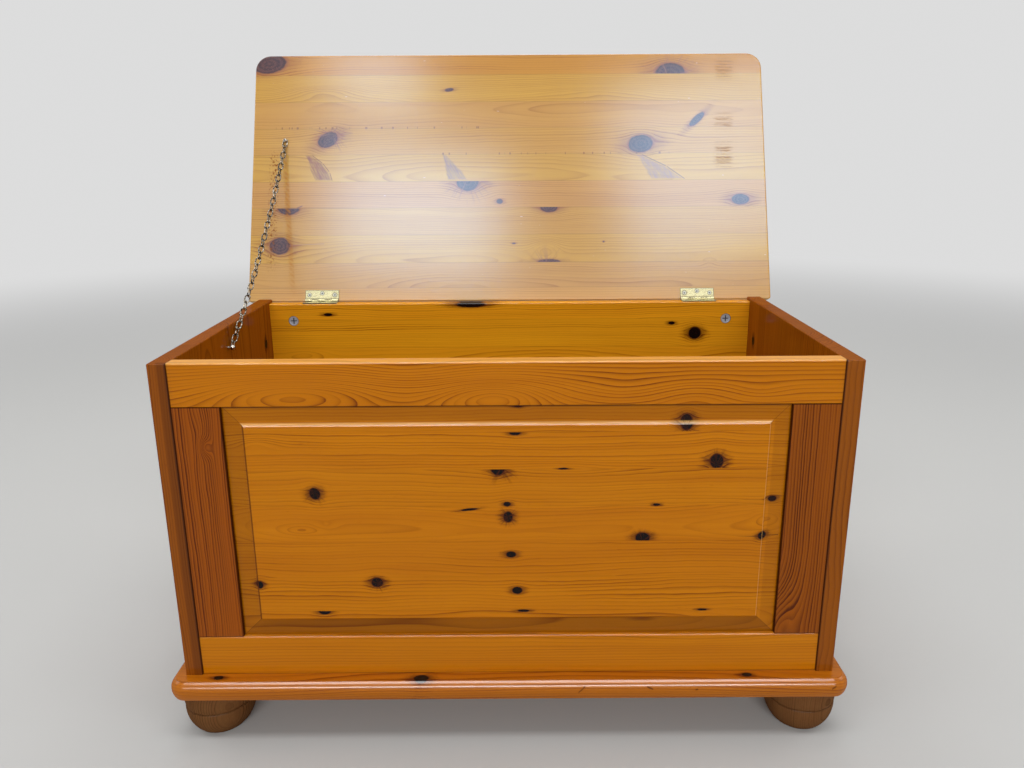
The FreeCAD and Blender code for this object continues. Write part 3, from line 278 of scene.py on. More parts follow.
def wood(name, origin, along, across, depth, *, early, late, staves=(), tints=(), pith_at=None,
         knots=(), swirls=(), ends=(), rims=(), spacing=3.4, pith=22.0, wander=16.0, seed=0, line=0.95,
         fibre=0.20, blotch=0.11, seam=0.25, seam_wide=0.6, wave=1.0, knot_core=(0.004, 0.002, 0.002),
         knot_fleck=(0.028, 0.009, 0.003), knot_rim=(0.065, 0.012, 0.002), knot_rings=0.0,
         halo_tint=0.7, end_dark=0.35, sharp=3.4, coat=0.30, coat_rough=0.12, rough=0.45, extra=None):
    """A lacquered pine board: growth rings cut lengthwise, staves, knots with the grain flowing round.

    u runs along the grain, v across it and w into the board, all in mm from the origin.
    knots: (u, v, half length, half height, low v limit, high v limit, tilt), where the limits are the
    stave's edges that cut the knot, or None. swirls: (u, v, half length, half height, rise in mm).
    staves: the v of each glue joint. ends and rims: the u and v of joints with the neighbours.
    extra: a function that paints marks on the board, painted light and shade among them, and says where its
    coat is worn.
    """
    tree = Tree(name)
    u, v, w, end = wood_axes(tree, origin, along, across, depth)

    # which stave, and how near the joint between two
    index, gaps = tree.math("ADD", 0.0, 0.0), []
    for edge in staves:
        gap = v - edge
        index = index + tree.math("GREATER_THAN", gap, 0.0)
        gaps.append(tree.absolute(gap))
    gaps += [tree.absolute(u - edge) for edge in ends] + [tree.absolute(v - edge) for edge in rims]
    (tint_r, tint_g, tint_b), seed_a, seed_b, centre = stave_looks(
        tree, index, staves, tints, pith_at, random.Random(seed))

    # the grain's lines wander, and flow round each knot
    wobble = tree.noise(tree.xyz(u * 0.006 + seed * 3.7, v * 0.02, seed_a * 40.0), 1.0, 3.0, 0.55) - 0.5
    ripple = tree.noise(tree.xyz(u * 0.03, v * 0.12 + seed, seed_b * 30.0), 1.0, 2.0, 0.5) - 0.5
    flow = v + wobble * (9.0 * wave) + ripple * (1.8 * wave)
    if knots:
        flow, nearest, reach = round_knots(tree, u, v, knots, flow)
    bulges = []
    for swirl_u, swirl_v, half_long, half_high, rise in swirls:
        along_swirl, across_swirl = (u - swirl_u) / half_long, (v - swirl_v) / half_high
        square = along_swirl * along_swirl + across_swirl * across_swirl
        bulges.append(tree.math("EXPONENT", square * -1.0) * rise)

    # growth rings round a pith that wanders below the board
    slow = tree.noise(tree.xyz(u * 0.0032 + seed_b * 50.0, seed_a * 20.0, seed * 1.3), 1.0, 1.0, 0.5) - 0.5
    deep = w + slow * (2.0 * wander) + pith
    sideways = flow - centre
    radius = tree.length(sideways, deep)
    if bulges:
        radius = radius - sum(bulges[1:], bulges[0])
    turn = radius / (seed_b * (0.5 * spacing) + 0.75 * spacing)
    turn = turn + (tree.noise(tree.xyz(turn * 0.35, seed_a * 9.0, 0.0), 1.0, 2.0, 0.5) - 0.5) * 1.4
    ring = tree.math("FLOORED_MODULO", turn, 1.0)
    ring_power = tree.random(tree.math("FLOOR", turn) + seed_a * 91.0)
    fine = tree.noise(tree.xyz(u * 0.012, flow * 1.1, w * 1.1), 1.0, 4.0, 0.65)
    fine_thin = tree.noise(tree.xyz(u * 0.05, flow * 5.0, w * 5.0 + seed), 1.0, 2.0, 0.6)
    latewood = (ring ** sharp) * tree.range(ring, 0.90, 1.0, 1.0, 0.0, smooth=True)
    busy = tree.noise(tree.xyz(u * 0.004, v * 0.035, seed_b * 17.0 + seed), 1.0, 2.0, 0.5)
    latewood = latewood * (ring_power * 0.95 + 0.30) * tree.range(fine, 0.25, 0.7, 0.55, 1.3)
    latewood = latewood * tree.range(busy, 0.32, 0.68, 0.45 * line, 1.35 * line)
    if knots:
        ragged = tree.noise(tree.xyz(u * 0.16, flow * 0.7, w * 0.1 + seed), 1.0, 3.0, 0.65) - 0.5
        halo = tree.range(tree.math("SQRT", reach) + ragged * 0.75, 0.36, 1.15, 1.0, 0.0, smooth=True)
        latewood = latewood * (halo * 1.6 + 1.0) + halo * tree.range(ragged, 0.0, 0.22, 0.0, 0.55)
    colour = tree.mix(tree.least(latewood, 1.0), early, late)
    if knots:
        colour = tree.mix(halo * halo * halo_tint, colour, knot_rim)

    # each stave's own tone, broad patches, fine fibre and short resin flecks
    patch = tree.noise(tree.xyz(u * 0.008, v * 0.03, seed_b * 9.0 + seed), 1.0, 3.0, 0.55) - 0.5
    band = tree.noise(tree.xyz(u * 0.0018, flow * 0.11, seed_b * 5.0), 1.0, 2.0, 0.5) - 0.5
    flecks = tree.noise(tree.xyz(u * 0.10, flow * 1.9, w * 1.9 + 7.0), 1.0, 1.0, 0.5)
    light = patch * (2.0 * blotch) + (fine - 0.5) * (2.0 * fibre) + (fine_thin - 0.5) * fibre
    light = light + band * (3.2 * blotch) - tree.range(flecks, 0.70, 0.80, 0.0, 0.45)
    deeper = light * 1.5 + 2.0
    toned = tree.xyz((light + 2.0) * tint_r, deeper * tint_g, deeper * tint_b)
    colour = tree.mix(1.0, colour, toned, "MULTIPLY")
    # dark lines along the joints; strong ones, as on the frame, are painted shade too
    if gaps:
        share = tree.range(tree.least(*gaps), 0.2 * seam_wide, seam_wide, seam, 0.0, smooth=True)
        colour = tree.mix(share, colour, tuple(0.35 * part for part in late))
    mottle = tree.noise(tree.xyz(v * 0.35, w * 0.35, u * 0.02), 1.0, 4.0, 0.7)
    end_share = tree.range(end, *END_GRAIN, 0.0, end_dark, smooth=True)
    colour = tree.mix(end_share * tree.range(mottle, 0.3, 0.7, 0.5, 1.3), colour, late)

    height = fine * 0.35 + fine_thin * 0.2 - latewood * 0.3
    if knots:
        grit = tree.noise(tree.xyz(u * 0.5, v * 0.5, w * 0.5), 1.0, 3.0, 0.7)
        size = tree.math("SQRT", nearest) + ragged * 0.35
        core = tree.range(size, 0.88, 1.04, 1.0, 0.0, smooth=True)
        rim = tree.range(size, 0.95, 1.30, 1.0, 0.0, smooth=True)
        inner = tree.mix(tree.range(grit, 0.55, 0.68, 0.0, 0.8), knot_core, knot_fleck)
        if knot_rings:
            rings = tree.math("SINE", size * 17.0 + grit * 15.0) * 0.5 + 0.5
            inner = tree.mix(rings * knot_rings, inner, knot_fleck)
        colour = tree.mix(rim * 0.85, colour, knot_rim)
        colour = tree.mix(core, colour, inner)
        outline = tree.range(tree.absolute(size - 0.95), 0.03, 0.10, 0.7, 0.0)
        colour = tree.mix(outline, colour, knot_core)
        height = height - core * 0.5
    worn = 0.0
    if extra is not None:
        colour, worn = extra(tree, u, v, w, colour)
    peel = tree.noise(tree.xyz(u * 0.05, v * 0.05, w * 0.05), 1.0, 2.0, 0.4)
    normal = tree.bump(height + peel * 0.6, 0.22, 0.0004)
    waves = tree.noise(tree.xyz(u * 0.012, flow * 0.28, w * 0.28 + seed), 1.0, 2.0, 0.6)
    lacquer = tree.bump(waves * 1.5 + fine * 0.1, 0.10, 0.0004)
    gloss = tree.range(fine, 0.3, 0.7, rough - 0.05, rough + 0.07)
    coated = tree.range(end, *END_GRAIN, coat, 0.35 * coat) * (1.0 - worn)
    return tree.surface(Base_Color=colour, Roughness=gloss, Normal=normal, Coat_Weight=coated,
                        Coat_Roughness=coat_rough, Coat_IOR=1.5, Coat_Normal=lacquer,
                        Specular_IOR_Level=0.0)


ALONG_X, ALONG_Y, ALONG_Z = (1, 0, 0), (0, 1, 0), (0, 0, 1)
XYZ = (ALONG_X, ALONG_Y, ALONG_Z)
LID_UP = (0, -math.cos(LID_ANGLE), math.sin(LID_ANGLE))     # from the hinge along the open lid
LID_IN = (0, math.sin(LID_ANGLE), math.cos(LID_ANGLE))      # into the lid from its underside
LID_FACE = Vector((0, AXIS_Y, AXIS_Z)) + Vector(LID_IN) * LEAF_FACE
CASE_FRONT = (0, FRONT_FACE, FLOOR_TO_CASE)
ORANGE = dict(early=(0.49, 0.158, 0.0015), late=(0.175, 0.036, 0.0005))
HONEY = dict(early=(0.505, 0.268, 0.044), late=(0.28, 0.098, 0.012))
RUST = dict(early=(0.28, 0.068, 0.002), late=(0.085, 0.015, 0.0008))

# (along, up, half length, half height, cut below, cut above, tilt), mm and degrees, seen from the front
PANEL_JOINTS = (81.9, 125.0, 169.0, 212.0, 255.9, 298.9)
PANEL_KNOTS = (
    (-213.0, 228.2, 5.6, 6.8, None, None, 20), (-283.9, 116.2, 4.0, 4.4, None, None),
    (-149.6, 118.2, 6.4, 5.6, None, None), (-212.1, 81.9, 6.6, 4.2, None, 81.9),
    (12.3, 329.8, 6.4, 3.6, None, None), (8.9, 298.9, 6.0, 3.4, None, 298.9),
    (-10.0, 257.5, 7.6, 8.2, None, 255.9, -25), (-0.4, 214.4, 3.8, 2.6, None, None),
    (0.4, 198.9, 4.8, 6.2, None, None), (-43.0, 208.1, 8.4, 1.3, None, None, 6),
    (3.3, 152.6, 5.4, 3.6, None, None), (10.1, 107.1, 5.4, 4.2, None, None),
    (17.2, 80.8, 6.3, 1.6, None, None), (194.7, 309.0, 6.4, 8.5, 298.9, None),
    (229.3, 264.0, 6.8, 8.2, 255.9, None), (294.4, 218.0, 4.6, 3.2, None, None),
    (285.4, 174.0, 4.6, 4.4, None, None, 15), (151.2, 172.4, 7.6, 6.0, 169.0, None),
    (165.5, 212.8, 3.6, 1.5, None, None), (222.8, 80.9, 5.0, 1.3, None, None),
    (61.7, 256.3, 5.0, 0.9, None, None))
PANEL_SWIRLS = (
    (61.7, 256.5, 60.0, 9.0, 5.0), (-232.0, 184.0, 20.0, 6.0, 5.0), (-203.0, 190.0, 13.0, 5.0, -3.5),
    (-271.5, 287.9, 24.0, 8.0, 7.0), (60.0, 180.0, 110.0, 14.0, 7.0), (230.0, 118.0, 90.0, 12.0, 5.0),
    (292.0, 196.0, 16.0, 10.0, 6.0))
# the raised field's edges at the left and right, and low and high, mm
FIELD_SIDE, FIELD_LOW, FIELD_HIGH = 285.0, 72.3, 306.2
# for the left, right, lower and upper bevel: where its painted shade starts and the shade's share, then the
# middle, width, share and colour of the line along the field's edge, a painted shadow left and below, a
# painted highlight right and above
BEVEL_PAINTED_LIGHT = (
    (0.0, 0.27, 0.9, 1.7, 0.72, (0.09, 0.018, 0.001)),
    (5.0, 0.18, 0.5, 0.9, 0.5, (0.80, 0.42, 0.12)),
    (1.0, 0.46, 0.7, 1.2, 0.6, (0.09, 0.018, 0.001)),
    (5.0, 0.18, 2.4, 2.6, 0.5, (0.85, 0.46, 0.12)))
# (middle, reach, low limit, high limit) of the rays beside the larger knots
PANEL_RAYS = (
    ((-213.0, 231.0), 19.0, 200.0, 233.0), ((-6.0, 258.0), 24.0, 225.0, 255.9),
    ((229.0, 260.0), 22.0, 255.9, 290.0), ((0.4, 199.0), 15.0, 180.0, 215.0),
    ((194.7, 303.0), 20.0, 298.9, 330.0), ((151.2, 168.0), 18.0, 169.0, 190.0),
    ((-149.6, 118.0), 15.0, 100.0, 122.0))


def panel_lines(tree, u, v, w, colour):
    """Painted shade on the bevels and in their mitres, painted shadows and highlights along the field's
    edges, painted shadow under the top rail and beside the stiles, a crack, and the rays beside the larger
    knots.
    """
    outward = (u * -1.0 - FIELD_SIDE, u - FIELD_SIDE, v * -1.0 + FIELD_LOW, v - FIELD_HIGH)
    furthest = tree.most(*outward)
    # painted shade on each bevel, most on the lower and the left one
    for gap, (start, share, *_) in zip(outward, BEVEL_PAINTED_LIGHT):
        here = tree.range(gap - furthest, -0.6, 0.0) * tree.range(gap, start, start + 1.5)
        colour = tree.mix(here * share, colour, (0.045, 0.008, 0.001))
    # a painted shadow along the field's left and lower edges, a painted highlight along its right and upper
    # edges
    for gap, (*_, middle, wide, share, tone) in zip(outward, BEVEL_PAINTED_LIGHT):
        here = tree.range(tree.absolute(gap - middle), 0.3 * wide, wide, share, 0.0, smooth=True)
        colour = tree.mix(tree.range(gap - furthest, -0.3, 0.0) * here, colour, tone)
    across = tree.absolute(u)
    up_down = tree.most(outward[2], outward[3])
    # painted shade: a dark line in each mitre where two bevels meet
    mitre = tree.range(tree.absolute(across - FIELD_SIDE - up_down), 0.15, 0.9, 0.28, 0.0)
    mitre = mitre * tree.math("GREATER_THAN", across, FIELD_SIDE)
    crack = tree.range(tree.absolute(v - 173.2), 0.2, 0.8, 0.7, 0.0)
    crack = crack * tree.range(u, 255.0, 275.0) * tree.math("LESS_THAN", u, 305.0)
    # painted shadow under the top rail and in the gaps beside the stiles; the crack above is the wood's own
    gap_shade = tree.most(tree.range(v, 325.8, 328.4, 0.0, 0.95), tree.range(across, 306.2, 307.8, 0.0, 0.7))
    colour = tree.mix(tree.most(mitre, crack, gap_shade), colour, (0.04, 0.009, 0.002))
    rays = tree.most(*(fan(tree, u, v, middle, 3.0, far, low, high, 4.0)
                       for middle, far, low, high in PANEL_RAYS))
    return tree.mix(rays * 0.85, colour, (0.06, 0.011, 0.002)), 0.0


panel_wood = wood("pine_panel", CASE_FRONT, ALONG_X, ALONG_Z, ALONG_Y, **ORANGE, staves=PANEL_JOINTS,
                  tints=((1.0, 0.99, 1.0), (1.01, 1.02, 1.0), (0.97, 0.95, 1.0), (1.0, 0.99, 1.0),
                         (1.0, 1.02, 1.0), (1.02, 1.03, 1.0), (0.95, 0.93, 1.0)),
                  knots=PANEL_KNOTS, swirls=PANEL_SWIRLS, seed=3, seam=0.14, blotch=0.15, line=0.85,
                  extra=panel_lines)


def rail_top_highlight(tree, u, v, w, colour):
    """A painted highlight on the rail's top face, which makes it paler than its front."""
    return tree.mix(tree.range(v, 376.2, 377.6, 0.0, 0.45), colour, (0.85, 0.46, 0.11)), 0.0


# strong dark seams where the frame's pieces meet and along their edges by the panel: dark joints, and
# painted shade in these corners
FRAME_SEAMS_AND_SHADE = dict(seam=0.85, seam_wide=1.1)
top_rail_wood = wood("pine_top_rail", CASE_FRONT, ALONG_X, ALONG_Z, ALONG_Y, **ORANGE, **FRAME_SEAMS_AND_SHADE,
                     swirls=((-228, 343.5, 92, 20, 37), (-14, 340, 62, 20, 36), (130, 348, 50, 16, -7),
                             (200, 338, 44, 14, 10), (270, 344, 34, 12, -6), (-105, 368, 56, 14, -6)),
                     ends=(-SIDE_INNER, SIDE_INNER), rims=RAIL_EDGES[1:], pith_at=286.0, spacing=5.6,
                     seed=7, line=1.25, wave=0.5, wander=4.0, extra=rail_top_highlight)
bottom_rail_wood = wood("pine_bottom_rail", CASE_FRONT, ALONG_X, ALONG_Z, ALONG_Y, **ORANGE,
                        **FRAME_SEAMS_AND_SHADE, swirls=((220, 42, 80, 9, -6), (-40, 28, 140, 10, -4)),
                        ends=(-SIDE_INNER, SIDE_INNER), rims=(0.0,), pith_at=-30.0, spacing=4.0, seed=11,
                        line=0.9, wave=0.6, wander=5.0)
left_stile_wood = wood("pine_stile_left", CASE_FRONT, ALONG_Z, ALONG_X, ALONG_Y, **RUST, **FRAME_SEAMS_AND_SHADE,
                       swirls=((284, -328, 11, 6, 12), (296, -333, 30, 9, -5), (180, -300, 120, 16, 5)),
                       ends=RAIL_EDGES, rims=(-SIDE_INNER, -STILE_EDGE), pith_at=-250.0, seed=15, line=1.5,
                       wave=0.9, wander=6.0, sharp=1.9)
right_stile_wood = wood("pine_stile_right", CASE_FRONT, ALONG_Z, ALONG_X, ALONG_Y, **RUST, **FRAME_SEAMS_AND_SHADE,
                        swirls=((50, 306, 58, 26, -30),), ends=RAIL_EDGES, rims=(STILE_EDGE, SIDE_INNER),
                        pith_at=245.0, seed=18, line=1.4, wave=0.6, wander=6.0, sharp=1.9)
# the back board's pine is lighter than the front's: painted light that makes up for the shade inside the
# chest
lightened_back_wood = wood("pine_back", (0, BACK_INNER, FLOOR_TO_CASE), ALONG_X, ALONG_Z, ALONG_Y,
                 early=(0.64, 0.275, 0.008), late=(0.27, 0.070, 0.002),
                 staves=(43, 87, 131, 176, 220, 263, 306, 349),
                 knots=((-273.2, 357.6, 6.0, 2.2, None, None), (279.8, 325.9, 9.0, 9.0, None, None),
                        (244.0, 341.5, 4.5, 2.4, None, None), (-58.7, 371.5, 20.0, 4.0, None, None),
                        (60.0, 240.0, 7.0, 6.0, None, None), (-180.0, 150.0, 8.0, 7.0, None, None)),
                 swirls=((-310.8, 296.3, 30, 9, 7),), seed=23)
SIDE_JOINTS = (42, 86, 131, 176, 222, 265, 310, 352)


def front_edge_shade(inner, band_share):
    """A painted shadow line where a side board's front edge meets the frame, and a darker band beside it on
    the edge's inner half.
    """
    def marks(tree, u, v, w, colour):
        on_edge = tree.range(v, 2.0, 5.0, 1.0, 0.0)
        line = tree.range(tree.absolute(w - inner), 0.4, 1.7, 0.85, 0.0) * on_edge
        share = tree.range(w + v * 0.4, 9.0, 12.0, smooth=True) * tree.range(v, 4.0, 9.0, 1.0, 0.0)
        colour = tree.mix(share * band_share, colour, (0.105, 0.026, 0.002))
        return tree.mix(line, colour, (0.03, 0.008, 0.003)), 0.0
    return marks


# the side boards' pine is darker than the front's: painted shade for the inside of the chest
shaded_side_woods = [
    wood(f"pine_side_{name}", (x, SIDE_FRONT, FLOOR_TO_CASE), ALONG_Z, ALONG_Y, ALONG_X, extra=extra,
         early=(0.262, 0.070, 0.003), late=(0.095, 0.018, 0.0015), staves=SIDE_JOINTS, seed=seed,
         end_dark=0.1, knots=((90, 64, 7, 6, None, None), (250, 155, 8, 7, None, None),
                              (180, 290, 7, 6, None, None), (320, 330, 6, 5, None, None)))
    for name, x, seed, extra in (
        ("left", -SIDE_OUTER, 31, front_edge_shade(SIDE_OUTER - SIDE_INNER, 0.6)),
        ("right", SIDE_INNER, 35, front_edge_shade(0.0, 0.0)))]

# (along, height above the underside, lean, width) of the cuts in the base board's bullnose, mm
CUTS = ((84.0, 13.5, 0.9, 7.0), (163.0, 15.0, -0.4, 6.0), (217.0, 13.0, 0.2, 2.0), (376.0, 14.0, 0.6, 4.0))


def nose_nicks(tree, u, v, w, colour):
    """Small cuts in the base board's bullnose."""
    cuts = []
    for at, low, lean, wide in CUTS:
        off = tree.absolute(w - low - (u - at) * lean)
        sideways = tree.range(tree.absolute(u - at), 0.5 * wide, 0.5 * wide + 1.0, 1.0, 0.0)
        cuts.append(tree.range(off, 0.4, 1.3, 0.85, 0.0) * sideways)
    share = tree.most(*cuts) * tree.math("LESS_THAN", v, 8.0)
    return tree.mix(share, colour, (0.07, 0.015, 0.003)), share


base_wood = wood("pine_base", (0, BASE_FRONT, BASE_UNDER), ALONG_X, ALONG_Y, ALONG_Z,
                 early=(0.42, 0.125, 0.003), late=(0.18, 0.034, 0.001), coat=0.5, coat_rough=0.2,
                 staves=(62, 128, 192, 258, 325),
                 knots=((-339.5, 13, 5.5, 3.2, None, None), (277.5, 13, 5.5, 3.2, None, None),
                        (-102.4, 10, 8.6, 5.5, None, None), (150, 210, 8, 7, None, None),
                        (-220, 290, 9, 8, None, None)), seed=41, extra=nose_nicks)

# (along, up the lid from the hinge axis, half length, half height, cut below, cut above, tilt), mm, degrees
LID_JOINTS = (19.0, 57.8, 101.6, 144.3, 186.2, 229.1, 271.5, 314.4, 358.6)
LID_KNOTS = (
    (-376.5, 378.0, 26.0, 15.0, None, None, 8), (-281.6, 253.7, 16.0, 11.0, None, None, 28),
    (-351.9, 85.1, 15.0, 12.6, None, None), (-93.2, 333.9, 6.6, 2.6, None, None, 8),
    (-64.0, 186.2, 16.5, 15.0, None, 186.2), (-14.6, 153.7, 4.6, 3.8, None, None),
    (254.3, 358.6, 23.0, 17.0, 358.6, None), (293.4, 283.6, 15.0, 5.0, None, None, 43),
    (204.9, 244.7, 19.0, 13.5, None, None, 8), (356.9, 154.9, 13.0, 8.2, None, None),
    (61.3, 144.3, 13.0, 8.0, None, 144.3), (60.0, 57.8, 17.0, 4.4, 57.8, None),
    (-340.0, 146.5, 17.0, 12.0, None, 144.3),
    (6.9, 87.2, 2.6, 1.2, None, None), (144.6, 89.2, 1.2, 1.2, None, None))
# (corners, colour, share) of the spike knots, cut lengthwise
SPIKE_KNOTS = (
    (((-301.4, 187.0), (-273.0, 187.0), (-278.5, 202.0), (-289.5, 217.0), (-306.5, 230.0),
      (-316.8, 230.0)), (0.20, 0.060, 0.032), 0.9),
    (((-96.2, 187.0), (-62.0, 187.0), (-72.0, 203.0), (-97.3, 230.0), (-105.0, 230.0)),
     (0.20, 0.105, 0.085), 0.8),
    (((220.2, 187.0), (272.8, 187.0), (244.0, 209.0), (205.1, 228.4), (196.3, 228.4)),
     (0.24, 0.135, 0.12), 0.75))
# (start, finish, width, colour) of thin dark lines: the spike knots' outer edges and two knots' tails
DARK_LINES = (
    ((-306.0, 229.0), (-289.0, 216.0), 0.9, (0.16, 0.04, 0.02)),
    ((-289.0, 216.0), (-278.0, 201.5), 0.9, (0.14, 0.03, 0.02)),
    ((-278.0, 201.5), (-273.5, 187.5), 0.9, (0.16, 0.04, 0.02)),
    ((205.5, 227.5), (244.0, 208.5), 1.0, (0.12, 0.06, 0.05)),
    ((244.0, 208.5), (272.5, 187.5), 1.0, (0.12, 0.06, 0.05)),
    ((-338.0, 86.2), (-283.0, 88.4), 0.7, (0.28, 0.12, 0.07)),
    ((-328.0, 144.5), (-318.0, 148.5), 1.4, (0.16, 0.07, 0.06)))
WEAR_COLUMN = 336.0                                # along the lid, mm
# (up the lid, half height, half height with its soft ends, share) of the worn strokes' groups
WEAR_GROUPS = ((366.0, 12.0, 22.0, 0.8), (281.0, 9.0, 15.0, 0.9), (226.0, 17.0, 25.0, 1.0))
RUB_AT, RUB_FROM, RUB_LEAN = 344.0, 221.8, 0.085   # the rubs' column: left of the middle, top, lean
NICKS_AT = 364.0                                   # the nicks' column, left of the middle
TICKS = ((271.5, -370.0, 20.0), (229.1, -110.0, 330.0))     # (joint, from, to) of the ticks, mm


def lid_marks(tree, u, v, w, colour):
    """Spike knots, the rays beside the cut knots, and the wear beside the chain and at the right."""
    for corners, fill, strength in SPIKE_KNOTS:
        grain = tree.noise(tree.xyz(u * 0.32 + v * 0.16, v * 0.06, w), 1.0, 3.0, 0.6)
        share = inside_corners(tree, u + (grain - 0.5) * 8.0, v, corners, 4.0)
        share = share * tree.range(grain, 0.35, 0.65, 0.45 * strength, strength)
        colour = tree.mix(share, colour, fill)
    for start, finish, width, fill in DARK_LINES:
        colour = tree.mix(thin_line(tree, u, v, start, finish, width), colour, fill)
    rays = tree.most(fan(tree, u, v, (252.0, 350.0), 20.0, 52.0, 358.6, 400.0),
                     fan(tree, u, v, (-64.0, 196.0), 18.0, 50.0, 144.3, 186.2),
                     fan(tree, u, v, (56.0, 46.0), 14.0, 44.0, 57.8, 101.6, 6.0) * 0.6,
                     fan(tree, u, v, (-275.0, 262.0), 14.0, 34.0, 229.1, 271.5, 8.0))
    colour = tree.mix(rays * 0.75, colour, (0.22, 0.08, 0.05))
    underside = tree.math("LESS_THAN", w, 6.0)

    # short dark strokes along the grain, in three groups below one another
    shift = tree.noise(tree.xyz(0.0, v * 0.30, 6.0), 1.0, 2.0, 0.6) - 0.5
    skip = tree.noise(tree.xyz(u * 0.05, v * 0.20, 4.0), 1.0, 2.0, 0.6)
    stroke = tree.math("SINE", v * 1.25 + shift * 14.0 + (skip - 0.5) * 6.0)
    column = tree.absolute(u - WEAR_COLUMN - (v - 300.0) * 0.04 - shift * 24.0)
    column = tree.range(column, 10.0, 16.0, 1.0, 0.0)
    groups = tree.most(*(tree.range(tree.absolute(v - up), half, soft, share, 0.0)
                         for up, half, soft, share in WEAR_GROUPS))
    groups = groups * tree.range(skip, 0.30, 0.46, 0.3, 1.0)
    broken = tree.noise(tree.xyz(u * 0.20, v * 0.85, 2.0), 1.0, 2.0, 0.6)
    strokes = tree.range(stroke, -0.3, 0.7) * column * groups * underside
    strokes = strokes * tree.range(broken, 0.30, 0.50, 0.25, 1.0)
    colour = tree.mix(strokes * 0.8, colour, (0.27, 0.115, 0.022))

    # a row of slanting rubs beside the chain, and nicks that it has knocked into the wood
    beside = u + RUB_AT - (RUB_FROM - v) * RUB_LEAN
    slant = tree.math("SINE", (v + beside * 0.9) * 0.74) * 0.5 + 0.5
    rubbed = tree.noise(tree.xyz(u * 0.10, v * 0.10, 5.0), 1.0, 3.0, 0.6)
    rub = tree.range(beside, -9.0, -5.0) * tree.range(beside, -1.0, 1.0, 1.0, 0.0) * (slant * 0.85 + 0.15)
    rub = rub * tree.range(v, 5.0, 40.0) * tree.range(v, 215.0, 235.0, 1.0, 0.0) * underside
    colour = tree.mix(rub * tree.range(rubbed, 0.38, 0.55, 0.2, 0.8), colour, (0.42, 0.160, 0.014))
    nick_at = tree.absolute(u + NICKS_AT)
    nick = tree.noise(tree.xyz(u * 0.30, v * 0.26, 8.0), 1.0, 2.0, 0.6)
    nick = tree.range(nick, 0.55, 0.59) * tree.range(nick_at, 4.0, 9.0, 1.0, 0.0) * underside
    nick = nick * tree.range(v, 40.0, 70.0) * tree.range(v, 225.0, 240.0, 1.0, 0.0)
    colour = tree.mix(nick * 0.9, colour, (0.21, 0.060, 0.012))

    # ticks along two of the joints, and pale dents
    for joint, low, high in TICKS:
        tick = tree.range(tree.noise(tree.xyz(u * 0.22, joint, 1.0), 1.0, 1.0, 0.5), 0.60, 0.66)
        tick = tick * tree.range(tree.absolute(v - joint - 1.0), 1.0, 2.5, 0.8, 0.0)
        tick = tick * tree.math("GREATER_THAN", u, low) * tree.math("LESS_THAN", u, high)
        colour = tree.mix(tick, colour, (0.16, 0.055, 0.015))
    dent = tree.noise(tree.xyz(u * 0.08, v * 0.35, 2.0), 1.0, 1.0, 0.5)
    colour = tree.mix(tree.range(dent, 0.79, 0.82, 0.0, 0.7), colour, (0.80, 0.66, 0.45))
    outer_face = tree.range(w, 3.0, 8.0, 0.0, 0.75)
    return colour, tree.most(strokes * 0.7, nick, rub * 0.4, outer_face)


lid_wood = wood("pine_lid", LID_FACE, ALONG_X, LID_UP, LID_IN, **HONEY, staves=LID_JOINTS,
                tints=((1.01, 0.99, 1.1), (0.97, 0.95, 1.1), (1.02, 1.04, 0.80), (0.98, 0.97, 1.0),
                       (0.97, 0.92, 1.2), (1.03, 1.07, 0.90), (0.99, 0.98, 1.0), (0.97, 0.94, 1.1),
                       (1.02, 1.04, 0.80), (0.95, 0.81, 0.50)),
                knots=LID_KNOTS, swirls=((56, 80, 20, 16, 11), (305, 55, 12, 8, 4),
                                         (-290, 335, 60, 16, 14), (130, 330, 70, 9, 6)),
                seed=52, line=0.8, seam=0.35, knot_core=(0.030, 0.010, 0.015),
                knot_fleck=(0.17, 0.060, 0.045), knot_rim=(0.21, 0.060, 0.028), knot_rings=0.55,
                halo_tint=0.45, coat=1.0, coat_rough=0.21, rough=0.5, extra=lid_marks)


def foot_wood(name, x, y, seed):
    return wood(name, (x, y, 0), ALONG_Z, ALONG_X, ALONG_Y, early=(0.150, 0.064, 0.022),
                late=(0.045, 0.018, 0.007), spacing=2.3, pith=70.0, wander=4.0, seed=seed, line=0.9,
                pith_at=48.0, end_dark=0.4, fibre=0.45, coat=0.05, rough=0.6)


# ------------------------------------------------------------------ metal

def metal(name, colour, tarnish_and_shade, rough, scale=900.0, spotted=(0.45, 0.75, 0.5), metallic=1.0, marks=None):
    """Metal with dull spots, which on the chain are also painted shade. marks gives the share of the dark
    colour at places of its own, painted shade on the cams and screws and darker marks on the hinges.
    """
    tree = Tree(name)
    point = Val(tree, tree.add("ShaderNodeTexCoord").outputs["Object"])
    spots = tree.noise(point, scale, 4.0, 0.6)
    scuffs = tree.noise(tree.vector("MULTIPLY", point, (300.0, 2500.0, 2500.0)), 1.0, 3.0, 0.6)
    share = tree.range(spots, spotted[0], spotted[1], 0.0, spotted[2])
    if marks is not None:
        share = tree.most(share, marks(tree, point))
    shade = tree.mix(share, colour, tarnish_and_shade)
    dull = tree.range(scuffs, 0.3, 0.7, rough - 0.06, rough + 0.1)
    normal = tree.bump(spots * 0.5 + scuffs * 0.5, 0.15, 0.0002)
    return tree.surface(Base_Color=shade, Metallic=metallic, Roughness=dull, Normal=normal)


def from_hinge(tree, point):
    """Along a hinge from its middle, y and z from the hinge axis, and the distance from it, in mm."""
    x, y, z = tree.along(point, XYZ)
    along = tree.absolute(x) - HINGE_X
    y, z = y - AXIS_Y, z - AXIS_Z
    return along, y, z, tree.length(y, z)


